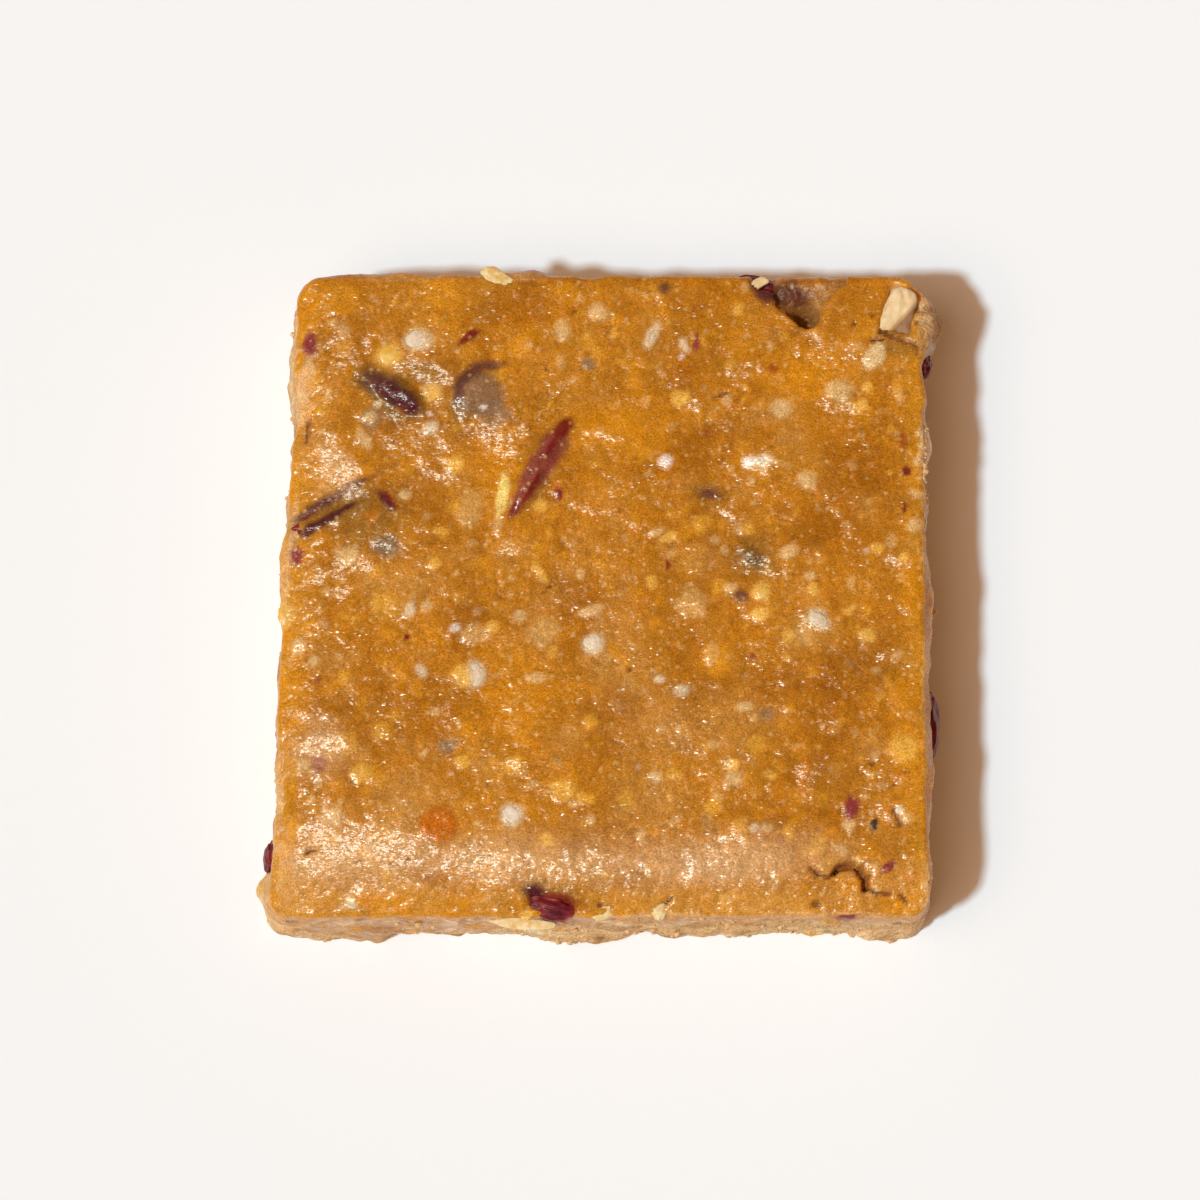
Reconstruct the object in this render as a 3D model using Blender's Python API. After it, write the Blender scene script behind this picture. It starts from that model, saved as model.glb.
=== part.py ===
"""A square nut butter bar: a pressed slab of nut paste with grains, dried fruit and nut pieces in it.

Units are metres, +Z is up. The origin is at the middle of the underside.
-Y is the front, where the top rolls over softly; +X is the right, a plain cut face.
"""

import math
from collections import namedtuple

import bmesh
import bpy
import numpy as np
from mathutils import Euler, Vector, noise

MM = 0.001


def mm(*values):
    """A size or a place given in millimetres, as a vector in metres."""
    return Vector(values) * MM


# Driving dimensions of the pressed slab
HEIGHT = 14.5 * MM
FRONT_Y = -31.3 * MM
BACK_Y = 31.2 * MM
LEFT_X_FRONT = -32.1 * MM
LEFT_X_BACK = -29.5 * MM
RIGHT_X = 31.0 * MM
# Of the upright corners, at the rim of the level top
CORNER_RADIUS = {
    ("front", "left"): 1.2 * MM,
    ("front", "right"): 1.3 * MM,
    ("back", "left"): 1.5 * MM,
    ("back", "right"): 2.3 * MM,
}

# The top edge: how tightly it turns, and how far in and how deep each soft roll goes
EDGE_RADIUS = 0.7 * MM
ROLL_WIDTH = {"front": 6.5 * MM, "left": 5.0 * MM, "right": 1.5 * MM, "back": 2.0 * MM}
ROLL_DROP = {"front": 1.5 * MM, "left": 0.9 * MM, "right": 0.25 * MM, "back": 0.15 * MM}

# Relief of the pressed top and of the torn sides: size from crest to crest, and height
TOP_WAVE = 9.0 * MM
TOP_WAVE_HEIGHT = 0.22 * MM
TOP_DIMPLE = 3.2 * MM
TOP_DIMPLE_HEIGHT = 0.12 * MM
SIDE_CRAG = 3.4 * MM
SIDE_CRAG_HEIGHT = 0.45 * MM
SIDE_CRAG_FLATNESS = 1.7

# Mesh density: cells across the top, rings down the side as a share of the height, edge angles
TOP_CELLS = 32
SIDE_LEVELS = (0.84, 0.66, 0.48, 0.30, 0.12, 0.0)
EDGE_TURNS = (30, 60, 90)

# How closely smooth shading follows the form
SHARP_ANGLE = 40

# A piece set into the slab keeps this gap to the pocket round it
POCKET_GAP = 0.35 * MM

# A swelling of a side: the side, its place along it, its height, its reach along and up, how far out
Lobe = namedtuple("Lobe", "side along height half_length half_height out")
LOBES = (
    Lobe("right", *mm(26.6, 8.5, 4.4, 9.5, 1.95)),
    Lobe("right", *mm(15.0, 8.0, 2.4, 6.0, 0.5)),
    Lobe("right", *mm(-1.5, 6.0, 7.0, 8.0, 1.05)),
    Lobe("right", *mm(-27.5, 12.0, 4.5, 5.0, 0.35)),
    Lobe("left", *mm(23.5, 6.0, 6.5, 6.5, 0.8)),
    Lobe("left", *mm(17.0, 12.0, 5.0, 8.0, -0.6)),
    Lobe("left", *mm(2.5, 11.0, 7.0, 8.0, 0.5)),
    Lobe("left", *mm(-20.5, 11.0, 4.0, 8.0, -0.4)),
    Lobe("left", *mm(-28.0, 5.5, 2.6, 6.0, 1.3)),
    Lobe("left", *mm(-30.8, 0.5, 3.5, 7.0, 0.7)),
    Lobe("front", *mm(-25.0, 1.5, 7.0, 5.0, 0.75)),
    Lobe("front", *mm(-2.7, 1.5, 7.0, 5.0, 0.9)),
    Lobe("front", *mm(28.0, 1.5, 5.0, 5.0, 0.6)),
    Lobe("back", *mm(-8.6, 11.5, 4.2, 6.0, 0.6)),
    Lobe("back", *mm(-20.0, 12.0, 8.0, 6.0, 0.3)),
)

# An uneven hollow cut from the top: centre, half sizes, heading in degrees, unevenness
Hollow = namedtuple("Hollow", "name at half_size heading lump")
HOLLOWS = (
    # where the pressed skin has torn away from the back edge
    Hollow("torn_patch", mm(18.3, 30.9, 14.5), mm(5.6, 4.4, 2.3), -14, 0.35),
    Hollow("torn_hole", mm(19.3, 27.6, 14.5), mm(1.7, 1.3, 3.4), 30, 0.25),
)

# A narrow cut that follows a path over the top
Crack = namedtuple("Crack", "name path width depth")
CRACKS = (
    Crack(
        "front_corner_crack",
        (
            mm(20.6, -27.0),
            mm(22.3, -27.5),
            mm(23.9, -26.6),
            mm(25.0, -27.6),
            mm(25.8, -29.7),
            mm(27.5, -29.4),
            mm(29.6, -29.9),
        ),
        0.7 * MM,
        1.8 * MM,
    ),
    # between the nut chunk and the side that has split off behind it
    Crack("nut_chunk_split", (mm(30.9, 29.6), mm(30.9, 26.5), mm(31.1, 23.2)), 0.5 * MM, 4.0 * MM),
)

# A piece of dried fruit: centre, half sizes, heading and dip in degrees, sideways bend of its middle
Fruit = namedtuple("Fruit", "name at half_size heading dip bend")
FRUITS = (
    Fruit("fruit_strip", mm(-6.0, 12.2, 14.15), mm(5.2, 1.15, 0.8), 61, 0, 0.5 * MM),
    Fruit("fruit_left_fold", mm(-25.3, 7.85, 13.6), mm(4.8, 1.6, 1.2), 22, 3, -0.7 * MM),
    Fruit("fruit_upper_left", mm(-19.9, 19.3, 14.05), mm(3.0, 1.35, 0.9), -33, 4, 0.3 * MM),
    Fruit("fruit_disc", mm(-12.3, 19.6, 14.1), mm(2.6, 2.1, 0.7), 35, 0, 0.2 * MM),
    Fruit("fruit_front", mm(-5.0, -30.0, 12.4), mm(2.7, 1.35, 1.25), -14, 0, -0.3 * MM),
    Fruit("fruit_back", mm(15.1, 29.9, 11.9), mm(3.1, 1.25, 0.9), -20, 3, 0.4 * MM),
    Fruit("fruit_corner", mm(31.1, 22.9, 10.6), mm(1.2, 1.0, 1.9), 80, 0, 0.1 * MM),
    Fruit("fruit_right_side", mm(31.4, -12.0, 8.2), mm(3.3, 1.4, 2.2), 90, 0, 0.3 * MM),
    Fruit("fruit_left_side", mm(-31.85, -25.0, 8.4), mm(1.7, 0.75, 2.2), 84, 0, 0.2 * MM),
)

# A chip of nut: centre, half sizes, heading and tilt in degrees
Chip = namedtuple("Chip", "name at half_size heading tilt")
CHIPS = (
    Chip("nut_chunk", mm(28.75, 27.8, 13.1), mm(1.65, 2.4, 1.6), -14, 7),
    Chip("nut_flake", mm(15.0, 30.5, 13.75), mm(0.95, 0.5, 0.35), 32, 0),
)
CHIP_BEVEL = 0.22
CHIP_TAPER = 0.22
CHIP_UNEVENNESS = 0.13

# A grain fused to the slab: centre, half sizes, heading in degrees
Grain = namedtuple("Grain", "at half_size heading")
TOP_GRAINS = (
    Grain(mm(-16.0, -22.4, 14.05), mm(1.5, 1.6, 0.75), 20),
    Grain(mm(-18.1, 24.9, 14.2), mm(1.15, 1.15, 0.55), 0),
    Grain(mm(-20.8, 23.2, 14.2), mm(1.0, 0.9, 0.5), 40),
    Grain(mm(-16.4, 16.9, 14.2), mm(0.9, 0.9, 0.5), 0),
    Grain(mm(-30.9, -2.0, 12.6), mm(0.75, 1.1, 0.9), 0),
    Grain(mm(-1.0, -4.8, 14.2), mm(1.1, 1.1, 0.55), 0),
    Grain(mm(-12.8, -7.9, 14.2), mm(1.1, 1.0, 0.55), 0),
    Grain(mm(-8.8, -21.6, 14.2), mm(1.15, 1.0, 0.5), 0),
    Grain(mm(5.4, 25.6, 14.2), mm(0.7, 1.3, 0.5), -30),
    Grain(mm(15.2, 12.7, 14.2), mm(1.5, 1.1, 0.5), 10),
    Grain(mm(14.8, -0.8, 14.25), mm(0.9, 1.5, 0.5), 0),
    Grain(mm(26.6, 22.9, 14.2), mm(1.1, 1.4, 0.6), -25),
    Grain(mm(26.4, 17.9, 14.2), mm(1.4, 0.9, 0.5), 35),
    Grain(mm(-10.0, 9.4, 14.2), mm(0.7, 2.4, 0.45), -12),
    Grain(mm(-10.9, 30.9, 13.7), mm(1.6, 0.9, 0.9), -35),
    Grain(mm(0.8, -30.5, 12.6), mm(1.9, 0.8, 0.9), 35),
    Grain(mm(5.3, -30.9, 12.3), mm(0.9, 1.2, 1.1), -8),
    Grain(mm(-4.2, 24.5, 14.2), mm(1.0, 1.0, 0.5), 0),
    Grain(mm(-3.4, -19.4, 14.2), mm(1.6, 1.1, 0.5), -25),
    Grain(mm(8.6, -21.0, 14.2), mm(1.2, 1.2, 0.5), 0),
    Grain(mm(20.4, -3.4, 14.2), mm(1.7, 1.5, 0.5), 0),
    Grain(mm(28.9, -14.8, 14.1), mm(1.5, 1.3, 0.5), 0),
)

# The grains that stand proud of each side: how many, half sizes, and the part of the side they keep to
SIDE_GRAIN_COUNT = 7
SIDE_GRAIN_HALF = (0.9 * MM, 1.5 * MM)
SIDE_GRAIN_SPAN = 0.86
SIDE_GRAIN_LEVELS = (0.18, 0.72)
SEED = 41


def clear_scene():
    for obj in list(bpy.data.objects):
        bpy.data.objects.remove(obj)


def new_collection(name):
    made = bpy.data.collections.new(name)
    bpy.context.scene.collection.children.link(made)
    return made


def food_material(name, colour, roughness):
    """A Principled material in one of the food's own colours (linear RGB)."""
    made = bpy.data.materials.new(name)
    made.use_nodes = True
    shader = made.node_tree.nodes["Principled BSDF"]
    shader.inputs["Base Color"].default_value = (*colour, 1.0)
    shader.inputs["Roughness"].default_value = roughness
    shader.inputs["Metallic"].default_value = 0.0
    made.diffuse_color = (*colour, 1.0)
    return made


def add_object(name, mesh, collection, material=None):
    obj = bpy.data.objects.new(name, mesh)
    collection.objects.link(obj)
    if material:
        mesh.materials.append(material)
    return obj


def add_helper(name, mesh, collection):
    """A cutter or other helper, which isn't a piece of the bar."""
    obj = add_object(name, mesh, collection)
    obj.hide_render = True
    obj.display_type = "WIRE"
    return obj


def mesh_from(work, name):
    """Turns a bmesh into a mesh, and frees the bmesh."""
    made = bpy.data.meshes.new(name)
    work.to_mesh(made)
    work.free()
    return made


def ripple(point, size, height):
    """Smooth relief of this height, with crests about this far apart."""
    return height * noise.noise(Vector(point) / size)


def fade(distance, reach):
    """1 at the middle, easing to 0 at reach."""
    share = min(abs(distance) / reach, 1.0)
    return (1 - share * share) ** 2


# ---- the slab


def edge_spread(t):
    """Moves the evenly spaced -1..1 grid lines nearer the two edges, where the form turns."""
    return 0.6 * t + 0.4 * (1.5 * t - 0.5 * t**3)


def rounded_rectangle(u, v, half_x, half_y):
    """Where the point (u, v) of a -1..1 square lands in a rectangle with round corners."""
    x, y = u * half_x, v * half_y
    radius = CORNER_RADIUS["front" if v < 0 else "back", "left" if u < 0 else "right"]
    core_x = max(-half_x + radius, min(half_x - radius, x))
    core_y = max(-half_y + radius, min(half_y - radius, y))
    over_x, over_y = x - core_x, y - core_y
    length = math.hypot(over_x, over_y)
    if length == 0:
        return x, y
    pull = max(abs(over_x), abs(over_y)) / length
    return core_x + over_x * pull, core_y + over_y * pull


def left_x(y):
    """The left face isn't square to the front: the bar is narrower at the back."""
    share = (y - FRONT_Y) / (BACK_Y - FRONT_Y)
    return LEFT_X_FRONT + (LEFT_X_BACK - LEFT_X_FRONT) * share


def plan_point(u, v, inset):
    """A point of the slab's plan, u to the right and v to the back, from -1 to 1."""
    half_y = (BACK_Y - FRONT_Y) / 2 - inset
    half_x = (RIGHT_X - (LEFT_X_FRONT + LEFT_X_BACK) / 2) / 2 - inset
    x, y = rounded_rectangle(u, v, half_x, half_y)
    y += (FRONT_Y + BACK_Y) / 2
    share = (x + half_x) / (2 * half_x)
    low, high = left_x(y) + inset, RIGHT_X - inset
    return low + (high - low) * share, y


def top_height(x, y):
    """Height of the pressed top: level in the middle, soft rolls at the edges, slight relief."""
    inward = {
        "front": y - FRONT_Y,
        "left": x - left_x(y),
        "right": RIGHT_X - x,
        "back": BACK_Y - y,
    }
    drop = sum(
        ROLL_DROP[side] * max(0.0, 1 - inward[side] / ROLL_WIDTH[side]) ** 2
        for side in inward
    )
    relief = ripple((x, y, 0), TOP_WAVE, TOP_WAVE_HEIGHT)
    relief += ripple((x, y, HEIGHT), TOP_DIMPLE, TOP_DIMPLE_HEIGHT)
    return HEIGHT - drop + relief


def lobes_out(x, y, z, outward):
    """How far the lobes push the side out at this point, which faces along outward."""
    facing = {"right": outward.x, "left": -outward.x, "front": -outward.y, "back": outward.y}
    along = {"right": y, "left": y, "front": x, "back": x}
    reach = 0.0
    for lobe in LOBES:
        near = fade(along[lobe.side] - lobe.along, lobe.half_length) * fade(z - lobe.height, lobe.half_height)
        reach += lobe.out * near * max(0.0, facing[lobe.side])
    return reach


def rim_in_order(sheet):
    """The vertices of the sheet's open rim, counter-clockwise seen from above."""
    edges = [edge for edge in sheet.edges if edge.is_boundary]
    neighbours = {}
    for edge in edges:
        for vertex in edge.verts:
            neighbours.setdefault(vertex, []).append(edge.other_vert(vertex))
    start = edges[0].verts[0]
    ring, previous, here = [start], None, start
    while True:
        ahead = next(v for v in neighbours[here] if v is not previous)
        if ahead is start:
            break
        ring.append(ahead)
        previous, here = here, ahead
    area = sum(a.co.x * b.co.y - b.co.x * a.co.y for a, b in zip(ring, ring[1:] + ring[:1]))
    return ring if area > 0 else ring[::-1]


def outward_directions(ring):
    """The level direction out of the slab at each vertex of a counter-clockwise rim."""
    directions = []
    for index in range(len(ring)):
        ahead = ring[(index + 1) % len(ring)]
        along = ahead.co - ring[index - 1].co
        directions.append(Vector((along.y, -along.x, 0)).normalized())
    return directions


def add_level(sheet, ring):
    """Extends the sheet past its rim by one row of faces, and returns the new rim in the same order."""
    made = [sheet.verts.new(vertex.co) for vertex in ring]
    for index in range(len(ring)):
        ahead = (index + 1) % len(ring)
        sheet.faces.new((ring[index], made[index], made[ahead], ring[ahead]))
    return made


def slab_mesh():
    """The pressed top as a sheet, its rim turned over the edge and run down to a flat underside."""
    sheet = bmesh.new()
    bmesh.ops.create_grid(sheet, x_segments=TOP_CELLS, y_segments=TOP_CELLS, size=1.0)
    for vertex in sheet.verts:
        x, y = plan_point(edge_spread(vertex.co.x), edge_spread(vertex.co.y), EDGE_RADIUS)
        vertex.co = (x, y, top_height(x, y))

    ring = rim_in_order(sheet)
    outwards = outward_directions(ring)
    start = [vertex.co.copy() for vertex in ring]
    for turn in map(math.radians, EDGE_TURNS):
        ring = add_level(sheet, ring)
        for vertex, at, outward in zip(ring, start, outwards):
            vertex.co = at + outward * EDGE_RADIUS * math.sin(turn)
            vertex.co.z = at.z - EDGE_RADIUS * (1 - math.cos(turn))
            vertex.co += outward * lobes_out(*vertex.co, outward) * math.sin(turn)

    edge = [vertex.co.copy() for vertex in ring]
    for level in SIDE_LEVELS:
        ring = add_level(sheet, ring)
        for vertex, at, outward in zip(ring, edge, outwards):
            z = at.z * level
            crag = ripple((at.x, at.y, SIDE_CRAG_FLATNESS * z), SIDE_CRAG, SIDE_CRAG_HEIGHT)
            swell = lobes_out(at.x, at.y, z, outward) - lobes_out(*at, outward)
            vertex.co = at + outward * (crag + swell)
            vertex.co.z = z
    sheet.faces.new(ring[::-1])
    bmesh.ops.recalc_face_normals(sheet, faces=sheet.faces)
    return mesh_from(sheet, "bar")


# ---- shapes of the pieces and of the cutters


def lumpy_ball(name, at, half_size, heading, lump, subdivisions):
    """A ball stretched to these half sizes, turned, and made uneven."""
    ball = bmesh.new()
    bmesh.ops.create_icosphere(ball, subdivisions=subdivisions, radius=1.0)
    turn = Euler((0, 0, math.radians(heading))).to_matrix()
    for vertex in ball.verts:
        swell = 1 + lump * noise.noise(vertex.co * 1.5 + at / MM)
        vertex.co = turn @ (vertex.co * half_size) * swell + at
    return mesh_from(ball, name)


def fruit_mesh(fruit):
    """A leathery piece of dried fruit: a flat, bent ball with creases along it."""
    ball = bmesh.new()
    bmesh.ops.create_icosphere(ball, subdivisions=3, radius=1.0)
    turn = Euler((0, math.radians(fruit.dip), math.radians(fruit.heading))).to_matrix()
    for vertex in ball.verts:
        along, across, up = vertex.co
        crease = 1 + 0.16 * noise.noise(Vector((2.2 * along, 3.4 * across, 2.4 * up)) + fruit.at / MM)
        bent = vertex.co * fruit.half_size * crease
        bent.y += fruit.bend * (1 - along * along)
        vertex.co = turn @ bent + fruit.at
    return mesh_from(ball, fruit.name)


def chip_mesh(chip):
    """A broken chip of nut: a block with bevelled edges, tapered and uneven."""
    block = bmesh.new()
    bmesh.ops.create_cube(block, size=2.0)
    bmesh.ops.subdivide_edges(block, edges=block.edges, cuts=2, use_grid_fill=True)
    corners = [edge for edge in block.edges if edge.calc_face_angle(0) > 1]
    bmesh.ops.bevel(block, geom=corners, offset=CHIP_BEVEL, segments=1, affect="EDGES")
    turn = Euler((math.radians(chip.tilt), 0, math.radians(chip.heading))).to_matrix()
    for vertex in block.verts:
        uneven = 1 + CHIP_UNEVENNESS * noise.noise(vertex.co * 1.3 + chip.at / MM)
        shaped = vertex.co * chip.half_size * uneven
        shaped.x *= 1 - CHIP_TAPER * vertex.co.y
        vertex.co = turn @ shaped + chip.at
    return mesh_from(block, chip.name)


def crack_mesh(crack):
    """A thin upright band that follows the crack's path, half of it above the top."""
    curve = bpy.data.curves.new(crack.name, "CURVE")
    curve.dimensions = "3D"
    curve.bevel_depth = crack.width / 2
    curve.bevel_resolution = 1
    curve.extrude = crack.depth
    curve.use_fill_caps = True
    line = curve.splines.new("POLY")
    line.points.add(len(crack.path) - 1)
    for point, (x, y) in zip(line.points, crack.path):
        point.co = (x, y, top_height(x, y), 1)
    guide = bpy.data.objects.new(crack.name, curve)
    bpy.context.scene.collection.objects.link(guide)
    graph = bpy.context.evaluated_depsgraph_get()
    band = bmesh.new()
    band.from_mesh(bpy.data.meshes.new_from_object(guide.evaluated_get(graph)))
    bpy.data.objects.remove(guide)
    bmesh.ops.remove_doubles(band, verts=band.verts, dist=0.001 * MM)
    bmesh.ops.recalc_face_normals(band, faces=band.faces)
    return mesh_from(band, crack.name)


def pocket_mesh(piece):
    """The piece's own form, grown by the gap that it keeps to its pocket."""
    grown = bmesh.new()
    grown.from_mesh(piece.data)
    grown.normal_update()
    for vertex, at in [(vertex, vertex.co + vertex.normal * POCKET_GAP) for vertex in grown.verts]:
        vertex.co = at
    return mesh_from(grown, f"pocket_{piece.name}")


# ---- joining and cutting


def apply_boolean(target, operation, collection):
    """Joins or cuts the target with all that the collection holds, which is then removed."""
    modifier = target.modifiers.new(operation.title(), "BOOLEAN")
    modifier.operation = operation
    modifier.operand_type = "COLLECTION"
    modifier.collection = collection
    modifier.solver = "EXACT"
    graph = bpy.context.evaluated_depsgraph_get()
    made = bpy.data.meshes.new_from_object(target.evaluated_get(graph))
    target.modifiers.remove(modifier)
    target.data = made
    for obj in list(collection.objects):
        bpy.data.objects.remove(obj)
    bpy.data.collections.remove(collection)


def side_grain(side, along, height, long_half, short_half):
    """A grain whose middle is on a side face, its long way along that face."""
    place = {"front": FRONT_Y, "back": BACK_Y, "right": RIGHT_X, "left": left_x(along)}[side]
    if side in ("front", "back"):
        return Grain(Vector((along, place, height)), Vector((long_half, short_half, short_half)), 0)
    return Grain(Vector((place, along, height)), Vector((short_half, long_half, short_half)), 0)


def side_grains(rng):
    """Grains spaced along the four sides with a seeded jitter."""
    low, high = SIDE_GRAIN_HALF
    made = []
    for side in ("front", "back", "right", "left"):
        for index in range(SIDE_GRAIN_COUNT):
            share = (index + 0.5 + rng.uniform(-0.3, 0.3)) / SIDE_GRAIN_COUNT
            along = SIDE_GRAIN_SPAN * (FRONT_Y + (BACK_Y - FRONT_Y) * share)
            height = HEIGHT * rng.uniform(*SIDE_GRAIN_LEVELS)
            made.append(side_grain(side, along, height, rng.uniform(low, high), low * rng.uniform(0.8, 1.1)))
    return made


def clear_of_pieces(grain):
    """True where the grain stays off every pocket."""
    for piece in FRUITS + CHIPS:
        room = max(piece.half_size) + max(grain.half_size) + POCKET_GAP
        if (piece.at - grain.at).length < room:
            return False
    return True


def fuse_grains(bar):
    """Joins the grains that show to the slab in one union."""
    grains = new_collection("grains")
    for grain in TOP_GRAINS:
        mesh = lumpy_ball("top_grain", grain.at, grain.half_size, grain.heading, 0.12, subdivisions=2)
        add_helper("top_grain", mesh, grains)
    for grain in filter(clear_of_pieces, side_grains(np.random.default_rng(SEED))):
        mesh = lumpy_ball("side_grain", grain.at, grain.half_size, grain.heading, 0.15, subdivisions=1)
        add_helper("side_grain", mesh, grains)
    apply_boolean(bar, "UNION", grains)


def cut_slab(bar, pieces):
    """Cuts the hollows, the cracks, and a pocket round each piece of fruit or nut."""
    cutters = new_collection("cutters")
    for hollow in HOLLOWS:
        add_helper(hollow.name, lumpy_ball(*hollow, subdivisions=3), cutters)
    for crack in CRACKS:
        add_helper(crack.name, crack_mesh(crack), cutters)
    for piece in pieces:
        add_helper(f"pocket_{piece.name}", pocket_mesh(piece), cutters)
    apply_boolean(bar, "DIFFERENCE", cutters)


def main():
    clear_scene()
    parts = new_collection("nut_butter_bar")
    paste = food_material("nut_paste", (0.50, 0.19, 0.03), 0.35)
    fruit_skin = food_material("dried_fruit", (0.09, 0.012, 0.014), 0.4)
    nut = food_material("nut_flesh", (0.58, 0.36, 0.14), 0.6)

    bar = add_object("bar", slab_mesh(), parts, paste)
    fuse_grains(bar)
    pieces = [add_object(fruit.name, fruit_mesh(fruit), parts, fruit_skin) for fruit in FRUITS]
    pieces += [add_object(chip.name, chip_mesh(chip), parts, nut) for chip in CHIPS]
    cut_slab(bar, pieces)
    for obj in parts.objects:
        obj.data.shade_smooth()
        obj.data.set_sharp_from_angle(angle=math.radians(SHARP_ANGLE))


main()
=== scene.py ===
import math
import random
from collections import namedtuple

import bmesh
import bpy
from bpy.props import FloatProperty, FloatVectorProperty, IntProperty, PointerProperty
from bpy.types import Operator, Panel, PropertyGroup
from mathutils import Euler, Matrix, Vector, kdtree, noise


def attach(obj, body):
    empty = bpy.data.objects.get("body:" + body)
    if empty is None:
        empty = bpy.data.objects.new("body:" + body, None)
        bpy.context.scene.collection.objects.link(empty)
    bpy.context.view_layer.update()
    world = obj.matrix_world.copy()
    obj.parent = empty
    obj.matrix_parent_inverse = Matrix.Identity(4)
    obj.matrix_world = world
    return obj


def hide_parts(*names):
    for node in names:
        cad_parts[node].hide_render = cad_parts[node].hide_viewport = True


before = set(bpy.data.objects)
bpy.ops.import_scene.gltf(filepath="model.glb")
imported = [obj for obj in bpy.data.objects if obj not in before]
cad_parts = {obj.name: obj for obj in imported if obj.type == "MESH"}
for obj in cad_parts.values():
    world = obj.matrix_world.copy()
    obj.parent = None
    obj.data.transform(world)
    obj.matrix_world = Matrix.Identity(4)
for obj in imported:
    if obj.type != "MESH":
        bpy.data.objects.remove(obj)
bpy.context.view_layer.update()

bl_info = {
    "name": "Nut butter bar",
    "version": (1, 0, 0),
    "blender": (4, 5, 0),
    "location": "3D View > Sidebar > Nut bar",
    "description": "Dresses the solids of a square nut butter bar in paste, grains, dried fruit and nut",
    "category": "Mesh",
}

MM = 0.001


def mm(*values):
    """A size or a place given in millimetres, as a vector in metres."""
    return Vector(values) * MM


def linear(colour):
    """An sRGB hex colour as linear red, green, blue and alpha."""
    made = []
    for start in (1, 3, 5):
        level = int(colour[start:start + 2], 16) / 255
        made.append(level / 12.92 if level <= 0.04045 else ((level + 0.055) / 1.055) ** 2.4)
    return (*made, 1.0)


# ---- sizes shared with the solids, in metres

HEIGHT = 14.5 * MM
FRONT_Y = -31.3 * MM
BACK_Y = 31.2 * MM
LEFT_X_FRONT = -32.1 * MM
LEFT_X_BACK = -29.5 * MM
RIGHT_X = 31.0 * MM
CORNER_RADIUS = {
    ("front", "left"): 1.2 * MM,
    ("front", "right"): 1.3 * MM,
    ("back", "left"): 1.5 * MM,
    ("back", "right"): 2.3 * MM,
}
EDGE_RADIUS = 0.7 * MM
ROLL_WIDTH = {"front": 6.5 * MM, "left": 5.0 * MM, "right": 1.5 * MM, "back": 2.0 * MM}
ROLL_DROP = {"front": 1.5 * MM, "left": 0.9 * MM, "right": 0.25 * MM, "back": 0.15 * MM}

# crest to crest, and height
TOP_WAVE = (9.0 * MM, 0.22 * MM)
TOP_DIMPLE = (3.2 * MM, 0.12 * MM)
SIDE_CRAG = (3.4 * MM, 0.45 * MM)
SIDE_CRAG_FLATNESS = 1.7

Lobe = namedtuple("Lobe", "side along height half_length half_height out")
LOBES = (
    Lobe("right", *mm(26.6, 8.5, 4.4, 9.5, 1.95)),
    Lobe("right", *mm(15.0, 8.0, 2.4, 6.0, 0.5)),
    Lobe("right", *mm(-1.5, 6.0, 7.0, 8.0, 1.05)),
    Lobe("right", *mm(-27.5, 12.0, 4.5, 5.0, 0.35)),
    Lobe("left", *mm(23.5, 6.0, 6.5, 6.5, 0.8)),
    Lobe("left", *mm(17.0, 12.0, 5.0, 8.0, -0.6)),
    Lobe("left", *mm(2.5, 11.0, 7.0, 8.0, 0.5)),
    Lobe("left", *mm(-20.5, 11.0, 4.0, 8.0, -0.4)),
    Lobe("left", *mm(-28.0, 5.5, 2.6, 6.0, 1.3)),
    Lobe("left", *mm(-30.8, 0.5, 3.5, 7.0, 0.7)),
    Lobe("front", *mm(-25.0, 1.5, 7.0, 5.0, 0.75)),
    Lobe("front", *mm(-2.7, 1.5, 7.0, 5.0, 0.9)),
    Lobe("front", *mm(28.0, 1.5, 5.0, 5.0, 0.6)),
    Lobe("back", *mm(-8.6, 11.5, 4.2, 6.0, 0.6)),
    Lobe("back", *mm(-20.0, 12.0, 8.0, 6.0, 0.3)),
)
# Crumbly ledges that the cut has left just under the skin
LEDGES = (
    Lobe("right", *mm(-1.0, 12.5, 8.5, 2.0, 0.6)),
    Lobe("right", *mm(14.5, 12.5, 5.0, 1.9, 0.5)),
    Lobe("right", *mm(-17.0, 12.4, 9.0, 1.8, 0.45)),
    Lobe("right", *mm(2.0, 12.6, 30.0, 1.6, 0.3)),
    Lobe("back", *mm(14.0, 12.2, 16.0, 2.0, 0.35)),
)

# The front left corner has sunk: the corner, how far from it the sinking starts, and how deep it gets
SUNKEN_CORNER = (mm(-32.0, -31.3), 18.0 * MM, 1.0 * MM)
# Along the front half of the left edge the skin has slumped, left of this line and in front of its start
SLUMP_X = -29.5 * MM
SLUMP_START_Y = -13.5 * MM
SLUMP_EASE = 4.0 * MM
SLUMP_SLOPE = 0.5
# The skin hangs down part of the front face: that part's middle and half length, and how far down as a share
HANG_X = -18.0 * MM
HANG_HALF = 24.0 * MM
HANG_DOWN = 0.6

# Where the skin is rubbed off or torn at the edges: x, y, half length, half width in mm, heading, share
RAW_PATCHES = (
    (-28.9, 20.4, 3.0, 0.9, 84, 0.8), (-31.2, -19.5, 4.2, 0.5, 90, 0.6), (31.2, 13.8, 3.4, 0.7, 90, 0.9),
    (31.1, 4.0, 5.0, 0.4, 90, 0.55), (-30.3, -26.6, 3.2, 0.8, 90, 0.35), (31.3, -29.0, 2.6, 0.5, 90, 0.7),
    (-29.9, 6.0, 3.4, 0.35, 85, 0.5), (6.0, -31.3, 6.0, 0.35, 0, 0.5), (22.0, -31.2, 6.0, 0.35, 0, 0.5),
    (30.9, -10.0, 6.0, 0.35, 90, 0.4),
)

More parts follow.
